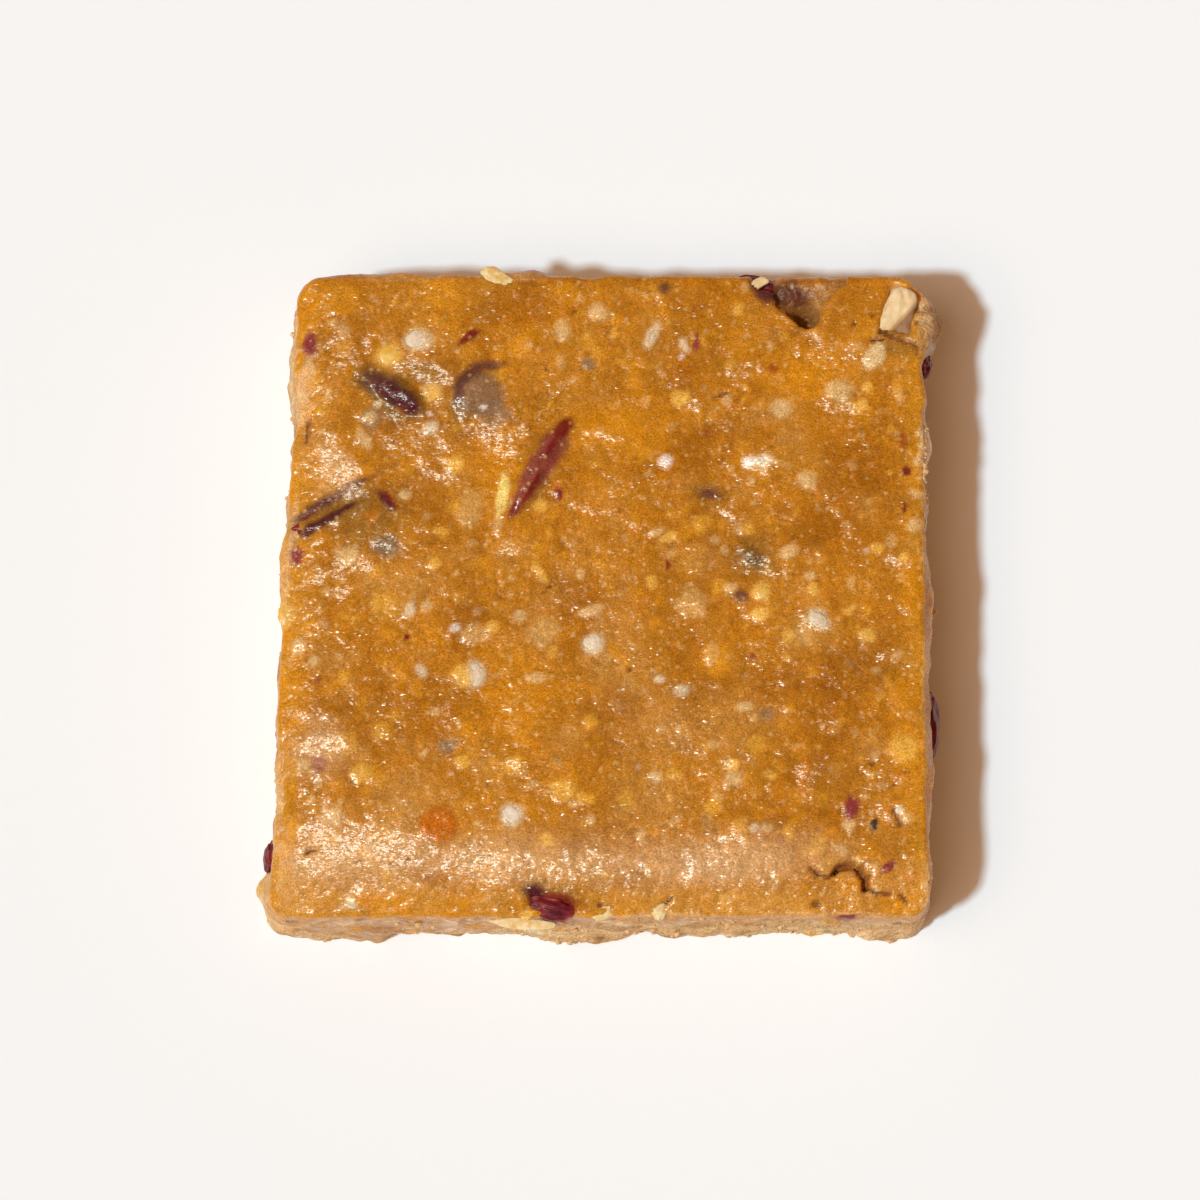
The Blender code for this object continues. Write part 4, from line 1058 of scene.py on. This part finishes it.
def wall_point(side, along, z):
    """The place on a cut side at this height, and the way out of it."""
    outward = {"front": (0, -1, 0), "back": (0, 1, 0), "left": (-1, 0, 0), "right": (1, 0, 0)}[side]
    if side in ("front", "back"):
        at = Vector((along, FRONT_Y if side == "front" else BACK_Y, z))
    else:
        at = Vector((left_x(along) if side == "left" else RIGHT_X, along, z))
    outward = Vector(outward)
    crag = ripple((at.x, at.y, SIDE_CRAG_FLATNESS * z), *SIDE_CRAG)
    return at + outward * (crag + lobes_out(*at, outward)), outward


def placed_inclusions():
    """The inclusions that lie where this bar shows them."""
    made = []
    for look, spots in SPOTS.items():
        for x, y, half_length, half_width, *heading in spots:
            made.append(on_top(look, x, y, half_length, half_width, *(heading or [0]), 1.0))
    for look, side, along_mm, height, half_length, half_height in SIDE_SPOTS:
        at, outward = wall_point(side, along_mm * MM, height * MM)
        level = Vector((-outward.y, outward.x, 0))
        made.append(Inclusion(look, at, level, Vector((0, 0, 1)), half_length * MM, half_height * MM, 1.0))
    for look, grains in (("puff_halo", PUFFS), ("bead_halo", BEADS)):
        for x, y, half_length, half_width, heading in grains:
            made.append(on_top(look, x, y, half_length * HALO, half_width * HALO, heading, 1.0))
    return made


def strewn_inclusions(rng, side_places):
    """Small seeded inclusions, over the top and along the sides."""
    made = []
    for look, count, small, large in TOP_SCATTER:
        for _ in range(count):
            x, y = plan_point(rng.uniform(-1, 1), rng.uniform(-1, 1), EDGE_RADIUS)
            size = small + (large - small) * rng.random() ** 1.6
            shape = (size * rng.uniform(0.9, 1.4), size * rng.uniform(0.55, 0.95), rng.uniform(0, 180))
            made.append(on_top(look, x / MM, y / MM, *shape, rng.uniform(0.2, 0.9)))
    for look, count, small, large in SIDE_SCATTER:
        for _ in range(count):
            vertex = rng.choice(side_places)
            size = rng.uniform(small, large) * MM
            slant = math.radians(rng.gauss(0, 12))
            level = Vector((-vertex.out.y, vertex.out.x, 0)).normalized()
            along = level * math.cos(slant) + Vector((0, 0, math.sin(slant)))
            across = Vector((0, 0, math.cos(slant))) - level * math.sin(slant)
            width = size * rng.uniform(0.16, 0.7)
            made.append(Inclusion(look, vertex.at, along, across, size, width, rng.uniform(0.4, 1.0)))
    return made


# A glow of light coming through the thin paste is painted near its front, left and right edges, this far in
EDGE_GLOW_REACH = 3.6 * MM
# The paste is darker in clouds, milkier in clots and streaked on the cut sides: how far these are apart
CLOUD = 9.0 * MM
CLOT = 3.2 * MM
STREAK = 2.4 * MM


def base_tint(vertex, settings):
    """The paste's own colour at a vertex, before any inclusion."""
    x, y, z = vertex.at
    broad = 0.5 + noise.noise(Vector((x, y, z)) / CLOUD)
    warm = 0.5 + noise.noise(Vector((y, x, z)) / CLOT)
    colour = blend_colour(settings.amber, settings.deep_amber, min(max(broad * 0.8, 0.0), 1.0))
    colour = blend_colour(colour, settings.haze, 0.2 * min(max(warm, 0.0), 1.0))
    inward = min(y - FRONT_Y, x - left_x(y), RIGHT_X - x)
    # painted glow: light that comes through the thin paste at the front, left and right edges
    colour = blend_colour(colour, settings.painted_edge_glow, 0.55 * fade(max(inward, 0.0), EDGE_GLOW_REACH))
    streak = 0.5 + noise.noise(Vector((x, y, 5 * z)) / STREAK)
    cut = blend_colour(settings.cut, settings.cut_shade, min(max(streak, 0.0), 1.0))
    return blend_colour(colour, cut, vertex.raw)


def paint(vertices, inclusions, settings):
    """Colours the vertices and moves them out or in, one inclusion after the other."""
    tree = kdtree.KDTree(len(vertices))
    for index, vertex in enumerate(vertices):
        tree.insert(vertex.at, index)
    tree.balance()
    tints = [base_tint(vertex, settings) for vertex in vertices]
    rises = [0.0] * len(vertices)
    colours = {look: linear(LOOKS[look].colour) for look in LOOKS}
    for inclusion in inclusions:
        look = LOOKS[inclusion.look]
        reach = max(inclusion.half_length, inclusion.half_width) * (1.15 + look.soft)
        for place, index, _ in tree.find_range(inclusion.at, reach):
            offset = place - inclusion.at
            distance = math.hypot(
                offset.dot(inclusion.along) / inclusion.half_length,
                offset.dot(inclusion.across) / inclusion.half_width,
            )
            distance *= 1 + 0.3 * noise.noise(place / (0.55 * MM + 0.5 * inclusion.half_width))
            share = soft_edge(distance, look.soft)
            if share > 0:
                strength = look.strength * inclusion.share * share
                tints[index] = blend_colour(tints[index], colours[inclusion.look], strength)
                rises[index] += look.rise * inclusion.share * share
    return tints, rises


def darken_cuts(vertices, tints, settings):
    """Darkens the cracks and the torn notch, where little light gets in."""
    for index, vertex in enumerate(vertices):
        if vertex.sunk > 0:
            tints[index] = blend_colour(tints[index], settings.torn, 0.9 * math.sqrt(vertex.sunk))
        if vertex.crack > 0:
            tints[index] = blend_colour(tints[index], settings.crack, min(1.0, 1.3 * vertex.crack))


def gleam_at(vertex):
    """How much the skin gleams at a vertex, in ragged patches."""
    if vertex.out.z < 0.5:
        return 0.0
    gleam = 0.0
    for x_mm, y_mm, half_length, half_width, heading, share in GLEAMS:
        offset = (vertex.at.x / MM - x_mm, vertex.at.y / MM - y_mm)
        if abs(offset[0]) + abs(offset[1]) < 2.6 * half_length:
            along, across = turned(*offset, heading)
            distance = math.hypot(along / half_length, across / half_width)
            distance *= 1 + ripple(vertex.at, *GLEAM_RAGGED)
            gleam = max(gleam, share * soft_edge(distance, 0.35))
    return gleam * (1 - vertex.raw)


# The rolled edges are smooth for this far in from the front and from the left
SMOOTH_ROLL = {"front": 2.8 * MM, "left": 1.9 * MM}


def wetness(vertex, gleam):
    """How wet with oil the skin is at a vertex."""
    blotch = 0.5 + noise.noise(vertex.at / WET_BLOTCH)
    wet = max(gleam, WETNESS + BLOTCH_WETNESS * max(0.0, blotch - BLOTCH_START)) * (1 - vertex.raw)
    front = (vertex.at.y - FRONT_Y) / SMOOTH_ROLL["front"]
    left = (vertex.at.x - left_x(vertex.at.y)) / SMOOTH_ROLL["left"]
    return wet * min(1.0, max(0.0, min(front, left) - 0.4) * 2)


def paste_mesh(settings):
    """The whole skin of the paste, with its colour and rawness stored for each vertex."""
    top = top_vertices()
    rim = [top[row * (TOP_CELLS + 1) + column].at for column, row in rim_cells(TOP_CELLS)]
    sides = side_vertices(rim)
    vertices = top + sides + underside_vertices()
    walls = [vertex for vertex in sides if vertex.down > 0.1]
    rng = random.Random(settings.seed)
    inclusions = strewn_inclusions(rng, walls) + placed_inclusions()
    tints, rises = paint(vertices, inclusions, settings)
    darken_cuts(vertices, tints, settings)
    places = []
    for vertex, rise in zip(vertices, rises):
        place = vertex.at + vertex.out * rise
        place.z = max(0.0, place.z)
        places.append(place)
    mesh = bpy.data.meshes.new("pressed_paste")
    mesh.from_pydata(places, [], paste_faces())
    tint = mesh.attributes.new("tint", "FLOAT_COLOR", "POINT")
    tint.data.foreach_set("color", [channel for colour in tints for channel in colour])
    gleams = [gleam_at(vertex) for vertex in vertices]
    stored = {
        "gleam": gleams,
        "wet": [wetness(vertex, gleam) for vertex, gleam in zip(vertices, gleams)],
        "raw": [vertex.raw for vertex in vertices],
    }
    for name, values in stored.items():
        mesh.attributes.new(name, "FLOAT", "POINT").data.foreach_set("value", values)
    return mesh


# ---- fruit, nut and grains


def mesh_from(work, name):
    """Turns a bmesh into a mesh, and frees the bmesh."""
    made = bpy.data.meshes.new(name)
    work.to_mesh(made)
    work.free()
    return made


def fruit_mesh(fruit):
    """A leathery piece of dried fruit: a flat, bent ball with creases along it and fine wrinkles."""
    ball = bmesh.new()
    bmesh.ops.create_icosphere(ball, subdivisions=6, radius=1.0)
    turn = Euler((0, math.radians(fruit.dip), math.radians(fruit.heading))).to_matrix()
    for vertex in ball.verts:
        along, across, up = vertex.co
        crease = 1 + 0.16 * noise.noise(Vector((2.2 * along, 3.4 * across, 2.4 * up)) + fruit.at / MM)
        wrinkle = 1 - 0.07 * abs(noise.noise(Vector((1.6 * along, 3.2 * across, 3.0 * up)) + fruit.at / MM))
        bent = vertex.co * fruit.half_size * crease * wrinkle
        bent.y += fruit.bend * (1 - along * along)
        vertex.co = turn @ bent + fruit.at
    return mesh_from(ball, fruit.name)


def chip_mesh(chip):
    """A broken chip of nut: a block with worn edges, tapered, uneven and grainy."""
    block = bmesh.new()
    bmesh.ops.create_cube(block, size=2.0)
    bmesh.ops.subdivide_edges(block, edges=block.edges, cuts=CHIP_CUTS, use_grid_fill=True)
    turn = Euler((math.radians(chip.tilt), 0, math.radians(chip.heading))).to_matrix()
    rim = block.verts.layers.float.new("rim")
    for vertex in block.verts:
        # a block whose edges are worn round, still nearly as large as the block
        worn = sum(abs(axis) ** CHIP_SQUARENESS for axis in vertex.co) ** (-1 / CHIP_SQUARENESS)
        at = vertex.co * worn
        uneven = 1 + ripple(at, *CHIP_GRAIN)
        for count, height in CHIP_LUMPS:
            uneven += height * noise.noise(at * count + chip.at / MM)
        shaped = at * chip.half_size * uneven
        shaped.x *= 1 - CHIP_TAPER * at.y
        vertex.co = turn @ shaped + chip.at
        if chip.name == "nut_chunk" and vertex.co.z > chip.at.z:
            # the lower facet lies to the right of a line across the chunk; its rim value paints it brown,
            # the nut's skin with painted shade
            start, heading = FACET_LINE
            _, across = turned(vertex.co.x - start.x, vertex.co.y - start.y, heading)
            lower = 1 - soft_edge(1 + across / FACET_EDGE, 1.0)
            vertex.co.z -= FACET_DROP * (1 - lower)
            vertex[rim] = 1 - lower
    return mesh_from(block, chip.name)


# Half height of a crisp grain, as a share of its half width: the paste hides the rest of it
GRAIN_FLATNESS = 0.2


def add_ball(work, at, half_size, heading, lump, pitted, subdivisions=4):
    """Adds a lumpy, pitted ball to a bmesh, and stores how near its rim each vertex is."""
    rim = work.verts.layers.float.get("rim") or work.verts.layers.float.new("rim")
    made = bmesh.ops.create_icosphere(work, subdivisions=subdivisions, radius=1.0)["verts"]
    turn = Euler((0, 0, math.radians(heading))).to_matrix()
    for vertex in made:
        vertex[rim] = math.hypot(vertex.co.x, vertex.co.y)
        swell = 1 + lump * noise.noise(vertex.co * 1.6 + at / MM)
        swell -= pitted * abs(noise.noise(vertex.co * 4.5 + at / MM))
        vertex.co = turn @ (vertex.co * half_size) * swell + at


def set_in_top(grains, sink, lump, pitted, name):
    """One mesh of all grains of a kind, each a flat ball whose middle lies this far under the skin."""
    work = bmesh.new()
    for x, y, half_length, half_width, heading in grains:
        place = mm(x, y)
        half_height = GRAIN_FLATNESS * min(half_length, half_width) * MM
        z = skin_at(place.x, place.y).z - sink
        half_size = Vector((half_length * MM, half_width * MM, half_height))
        add_ball(work, Vector((place.x, place.y, z)), half_size, heading, lump, pitted)
    return mesh_from(work, name)


def crumbs_mesh(rng):
    """One mesh of all the crumbs, each half sunk in a side."""
    work = bmesh.new()
    for index in range(CRUMBS + FRINGE_CRUMBS):
        side = rng.choice(("front", "back", "left", "right"))
        along = rng.uniform(FRONT_Y, BACK_Y) * CRUMB_SPREAD
        z = HEIGHT * rng.choice(CRUMB_HEIGHTS) * rng.uniform(0.4, 1.1)
        if index >= CRUMBS:
            side = "right"
            along = rng.uniform(*FRINGE_Y)
            z = HEIGHT * rng.uniform(*FRINGE_HEIGHTS)
        half = rng.uniform(*CRUMB_HALF)
        at, outward = wall_point(side, along, z)
        at += outward * half * rng.uniform(-0.3, 0.5)
        at.z = max(at.z, CRUMB_CLEARANCE * half)
        half_size = Vector([half * rng.uniform(0.7, 1.3) for _ in range(3)])
        add_ball(work, at, half_size, rng.uniform(0, 180), lump=0.5, pitted=0.3, subdivisions=2)
    return mesh_from(work, "cut_crumbs")


def finish_piece(name, mesh, material, slot, *nodes):
    """Puts a mesh in the scene as a piece of the bar."""
    obj = bpy.data.objects.new(name, mesh)
    bpy.context.scene.collection.objects.link(obj)
    mesh.materials.append(material)
    mesh.shade_smooth()
    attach(obj, "root")
    if nodes:
        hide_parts(*nodes)
    return obj


# ---- settings


def colour_setting(name, colour, description):
    """A colour that the user can change."""
    return FloatVectorProperty(
        name=name, description=description, subtype="COLOR", size=4, min=0.0, max=1.0, default=linear(colour)
    )


class NUTBAR_PG_paste(PropertyGroup):
    amber: colour_setting("Amber", "#C37A18", "The oily skin of the paste where it is light")
    deep_amber: colour_setting("Deep amber", "#A8640E", "The oily skin of the paste where it is dark")
    haze: colour_setting("Haze", "#C98C30", "Milky clots in the skin")
    # painted glow of light through the thin paste at the rolled edges
    painted_edge_glow: colour_setting("Edge glow", "#DC9626", "The thin paste at the rolled edges")
    cut: colour_setting("Cut paste", "#ECC692", "The dry paste on the cut sides")
    cut_shade: colour_setting("Cut paste, darker", "#D9A266", "The darker layers on the cut sides")
    # torn and crack are painted shade: darker the deeper the notch, and dark inside the cracks
    torn: colour_setting("Torn paste", "#6E3C0A", "The deepest part of the torn notch")
    crack: colour_setting("Crack", "#8A480A", "The inside of the cracks")
    speckle: FloatProperty(
        name="Speckle", description="How strongly the specks of ground nut show", default=0.45, min=0, max=1
    )
    translucency: FloatProperty(
        name="Translucency", description="Share of light that goes under the skin", default=0.3, min=0, max=1
    )
    glow_depth: FloatProperty(
        name="Glow depth", description="How far light spreads in the paste", default=1.4 * MM, unit="LENGTH"
    )
    seed: IntProperty(name="Seed", description="Which of the chance layouts of small grains", default=7)


class NUTBAR_PG_fruit(PropertyGroup):
    skin: colour_setting("Skin", "#561020", "Dried cherry where it is thick")
    thin_skin: colour_setting("Thin skin", "#8C2228", "Dried cherry where light comes through it")


class NUTBAR_PG_grains(PropertyGroup):
    puff: colour_setting("Puffed grain", "#F2DCC6", "Puffed quinoa")
    puff_shade: colour_setting("Puffed grain, darker", "#E0BE98", "The hollows of puffed quinoa")
    oat: colour_setting("Oat", "#F6DCA6", "Rolled oat flakes")
    oat_shade: colour_setting("Oat, darker", "#E0B060", "The creases of oat flakes")
    bead: colour_setting("Millet", "#F4C66C", "Hulled millet")
    bead_shade: colour_setting("Millet, darker", "#E6AC3E", "The dark side of hulled millet")


class NUTBAR_PG_nut(PropertyGroup):
    flesh: colour_setting("Flesh", "#F0D2A2", "Broken nut")
    flesh_shade: colour_setting("Flesh, darker", "#E2BC84", "Worn faces of the nut")
    # the lower facet: the nut's brown skin, darkened with painted shade
    husk_and_shade: colour_setting("Husk", "#8A5A38", "The brown skin on the nut's lower facet")


class NUTBAR_PG_stage(PropertyGroup):
    key: FloatProperty(name="Key light", description="Strength of the main light", default=2.7, min=0)
    key_colour: colour_setting("Key colour", "#D0F0FF", "Cool light of the key")
    wide_key: FloatProperty(
        name="Wide key", description="Strength of the light round it", default=1.0, min=0
    )
    wide_key_colour: colour_setting("Wide key colour", "#FFDABC", "Warm light round the key")
    fill: colour_setting("Fill", "#8B6546", "Warm light from all sides")
    backdrop: colour_setting("Backdrop", "#F7F6F4", "What the camera sees past the floor")
    floor: colour_setting("Floor", "#F5F5F5", "The pale card that the bar lies on")
    lens: FloatProperty(name="Lens", description="Focal length in mm", default=200.0, min=20)
    distance: FloatProperty(
        name="Distance", description="From the camera to the top of the bar", default=641 * MM, unit="LENGTH"
    )


# Which way the main light shines, and how wide it and the light round it look, in degrees
KEY_DIRECTION = Vector((6.5, 3.9, -14.5))
KEY_ANGLE = 4.5
WIDE_KEY_ANGLE = 40.0
# The card: half its width in metres, and how far it lies under the bar
FLOOR_HALF = 1.5
FLOOR_GAP = 0.02 * MM
# The camera leans this far from the upright, in degrees, and looks at this place on the top
CAMERA_TILT = 10
CAMERA_TARGET = mm(-0.34, -0.80, 14.5)
SENSOR_WIDTH = 36.0
NEAREST_SEEN = 10 * MM


# ---- operators


class NUTBAR_OT_paste(Operator):
    """Build the slab of paste, with its cracks, torn notch and the inclusions under its skin"""

    bl_idname = "nutbar.paste"
    bl_label = "Pressed paste"

    def execute(self, context):
        settings = context.scene.nutbar_paste
        finish_piece("paste_slab", paste_mesh(settings), paste_material(settings), "nut_paste", "bar")
        return {"FINISHED"}


class NUTBAR_OT_fruit(Operator):
    """Build the pieces of dried fruit"""

    bl_idname = "nutbar.fruit"
    bl_label = "Dried fruit"

    def execute(self, context):
        settings = context.scene.nutbar_fruit
        # dried cherry: a leathery skin, nearly black where thick and purple where thin, with a sticky gloss
        values = {
            "Roughness": 0.45,
            "IOR": 1.48,
            "Specular Tint": linear("#FFDCC0"),
            "Subsurface Weight": 0.1,
            "Subsurface Radius": (1.0, 0.12, 0.1),
            "Subsurface Scale": 0.5 * MM,
        }
        material = patterned_material(
            "dried_cherry_skin", (settings.skin, settings.thin_skin), 1.6 * MM, 0.07 * MM, values
        )
        for fruit in FRUITS:
            finish_piece(f"{fruit.name}_skin", fruit_mesh(fruit), material, "dried_fruit", fruit.name)
        return {"FINISHED"}


class NUTBAR_OT_nut(Operator):
    """Build the broken chips of nut"""

    bl_idname = "nutbar.nut"
    bl_label = "Nut chips"

    def execute(self, context):
        settings = context.scene.nutbar_nut
        # broken hazelnut: dry, matt and finely grainy
        values = {"Roughness": 0.6, "IOR": 1.45, "Subsurface Weight": 0.15, "Subsurface Scale": 0.5 * MM}
        # the lower facet is painted in the husk colour: brown skin with painted shade
        material = patterned_material(
            "broken_hazelnut", (settings.flesh, settings.flesh_shade), 1.6 * MM, 0.07 * MM, values,
            settings.husk_and_shade,
        )
        for chip in CHIPS:
            finish_piece(f"{chip.name}_flesh", chip_mesh(chip), material, "nut", chip.name)
        return {"FINISHED"}


class NUTBAR_OT_grains(Operator):
    """Set the crisp grains into the top: puffed quinoa and millet beads"""

    bl_idname = "nutbar.grains"
    bl_label = "Grains"

    def execute(self, context):
        settings = context.scene.nutbar_grains
        # puffed quinoa: pale starch foam under a thin film of oil
        values = {"Roughness": 0.4, "IOR": 1.45, "Subsurface Weight": 0.3, "Subsurface Scale": 0.5 * MM}
        puffed = patterned_material(
            "puffed_quinoa", (settings.puff, settings.puff_shade), 0.6 * MM, 0.05 * MM, values,
            linear(LOOKS["puff_halo"].colour),
        )
        puffs = set_in_top(PUFFS, sink=0.02 * MM, lump=0.25, pitted=0.12, name="quinoa_puffs")
        finish_piece("quinoa_puffs", puffs, puffed, "nut_paste")
        # hulled millet: a waxy yellow bead
        waxy = patterned_material(
            "hulled_millet", (settings.bead, settings.bead_shade), 0.9 * MM, 0.03 * MM,
            {**values, "Roughness": 0.3}, linear(LOOKS["bead_halo"].colour),
        )
        beads = set_in_top(BEADS, sink=0.04 * MM, lump=0.2, pitted=0.08, name="millet_beads")
        finish_piece("millet_beads", beads, waxy, "nut_paste")
        # rolled oats: flat, pale and slightly glossy with oil
        rolled = patterned_material(
            "rolled_oats", (settings.oat, settings.oat_shade), 0.8 * MM, 0.06 * MM,
            {**values, "Roughness": 0.45},
        )
        flakes = set_in_top(OATS, sink=0.0, lump=0.3, pitted=0.12, name="oat_flakes")
        finish_piece("oat_flakes", flakes, rolled, "nut_paste")
        return {"FINISHED"}


class NUTBAR_OT_crumbs(Operator):
    """Strew crumbs of dry paste over the cut sides and along the torn right edge"""

    bl_idname = "nutbar.crumbs"
    bl_label = "Crumbs"

    def execute(self, context):
        settings = context.scene.nutbar_paste
        # dry crumb of cut paste: pale, matt and rough
        values = {"Roughness": 0.75, "IOR": 1.45, "Subsurface Weight": 0.2, "Subsurface Scale": 0.6 * MM}
        dry = patterned_material(
            "dry_paste_crumb", (settings.cut, settings.cut_shade), 0.5 * MM, 0.08 * MM, values
        )
        finish_piece("cut_crumbs", crumbs_mesh(random.Random(settings.seed)), dry, "nut_paste")
        return {"FINISHED"}


class NUTBAR_OT_stage(Operator):
    """Set up the pale floor, the soft studio light and the camera"""

    bl_idname = "nutbar.stage"
    bl_label = "Floor, light and camera"

    def execute(self, context):
        settings = context.scene.nutbar_stage
        self.floor(settings)
        self.light(settings)
        self.camera(settings)
        return {"FINISHED"}

    def floor(self, settings):
        """A wide sheet of matt card, just under the bar."""
        sheet = bmesh.new()
        bmesh.ops.create_grid(sheet, x_segments=8, y_segments=8, size=FLOOR_HALF)
        mesh = mesh_from(sheet, "floor_card")
        floor = bpy.data.objects.new("floor_card", mesh)
        floor.location.z = -FLOOR_GAP
        bpy.context.scene.collection.objects.link(floor)
        # uncoated card: matt, with a tooth of fine fibres
        card = patterned_material(
            "matt_card", (settings.floor, settings.floor), 0.6 * MM, 0.01 * MM,
            {"Roughness": 0.9, "IOR": 1.45},
        )
        mesh.materials.append(card)

    def light(self, settings):
        """A small key from the front left with a wider one round it, and a warm fill from all sides."""
        lamps = (
            ("key", settings.key, settings.key_colour, KEY_ANGLE),
            ("wide_key", settings.wide_key, settings.wide_key_colour, WIDE_KEY_ANGLE),
        )
        for name, energy, colour, angle in lamps:
            sun = bpy.data.lights.new(name, "SUN")
            sun.energy = energy
            sun.color = colour[:3]
            sun.angle = math.radians(angle)
            lamp = bpy.data.objects.new(name, sun)
            lamp.rotation_euler = KEY_DIRECTION.to_track_quat("-Z", "Y").to_euler()
            bpy.context.scene.collection.objects.link(lamp)

        world = bpy.data.worlds.new("studio")
        bpy.context.scene.world = world
        world.use_nodes = True
        tree = world.node_tree
        tree.nodes.clear()
        fill = add_node(tree, "ShaderNodeBackground", {"Color": settings.fill})
        paper = add_node(tree, "ShaderNodeBackground", {"Color": settings.backdrop})
        seen = add_node(tree, "ShaderNodeLightPath", {}, "Is Camera Ray")
        both = add_node(tree, "ShaderNodeMixShader", {0: seen, 1: fill, 2: paper})
        set_inputs(tree, tree.nodes.new("ShaderNodeOutputWorld"), {"Surface": both})

    def camera(self, settings):
        """A long lens that looks down, a little off the upright."""
        tilt = math.radians(CAMERA_TILT)
        lens = bpy.data.cameras.new("camera")
        lens.lens = settings.lens
        lens.sensor_width = SENSOR_WIDTH
        lens.dof.use_dof = False
        lens.clip_start = NEAREST_SEEN
        camera = bpy.data.objects.new("camera", lens)
        camera.location = CAMERA_TARGET + settings.distance * Vector((0, -math.sin(tilt), math.cos(tilt)))
        camera.rotation_euler = (tilt, 0, 0)
        bpy.context.scene.collection.objects.link(camera)
        bpy.context.scene.camera = camera
        bpy.context.scene.view_settings.view_transform = "Standard"


class NUTBAR_PT_panel(Panel):
    """Settings and steps of the nut butter bar"""

    bl_label = "Nut butter bar"
    bl_space_type = "VIEW_3D"
    bl_region_type = "UI"
    bl_category = "Nut bar"

    def draw(self, context):
        for operator, group in STEPS:
            box = self.layout.box()
            settings = getattr(context.scene, group)
            for name in settings.__annotations__:
                box.prop(settings, name)
            box.operator(operator.bl_idname)


STEPS = (
    (NUTBAR_OT_paste, "nutbar_paste"),
    (NUTBAR_OT_fruit, "nutbar_fruit"),
    (NUTBAR_OT_nut, "nutbar_nut"),
    (NUTBAR_OT_grains, "nutbar_grains"),
    (NUTBAR_OT_crumbs, "nutbar_paste"),
    (NUTBAR_OT_stage, "nutbar_stage"),
)
GROUPS = {
    "nutbar_paste": NUTBAR_PG_paste,
    "nutbar_fruit": NUTBAR_PG_fruit,
    "nutbar_nut": NUTBAR_PG_nut,
    "nutbar_grains": NUTBAR_PG_grains,
    "nutbar_stage": NUTBAR_PG_stage,
}


def register():
    for name, group in GROUPS.items():
        bpy.utils.register_class(group)
        setattr(bpy.types.Scene, name, PointerProperty(type=group))
    for operator, _ in STEPS:
        bpy.utils.register_class(operator)
    bpy.utils.register_class(NUTBAR_PT_panel)


def unregister():
    bpy.utils.unregister_class(NUTBAR_PT_panel)
    for operator, _ in reversed(STEPS):
        bpy.utils.unregister_class(operator)
    for name, group in GROUPS.items():
        delattr(bpy.types.Scene, name)
        bpy.utils.unregister_class(group)


def main():
    register()
    bpy.ops.nutbar.paste()
    bpy.ops.nutbar.fruit()
    bpy.ops.nutbar.nut()
    bpy.ops.nutbar.grains()
    bpy.ops.nutbar.crumbs()
    bpy.ops.nutbar.stage()


if __name__ == "__main__":
    main()
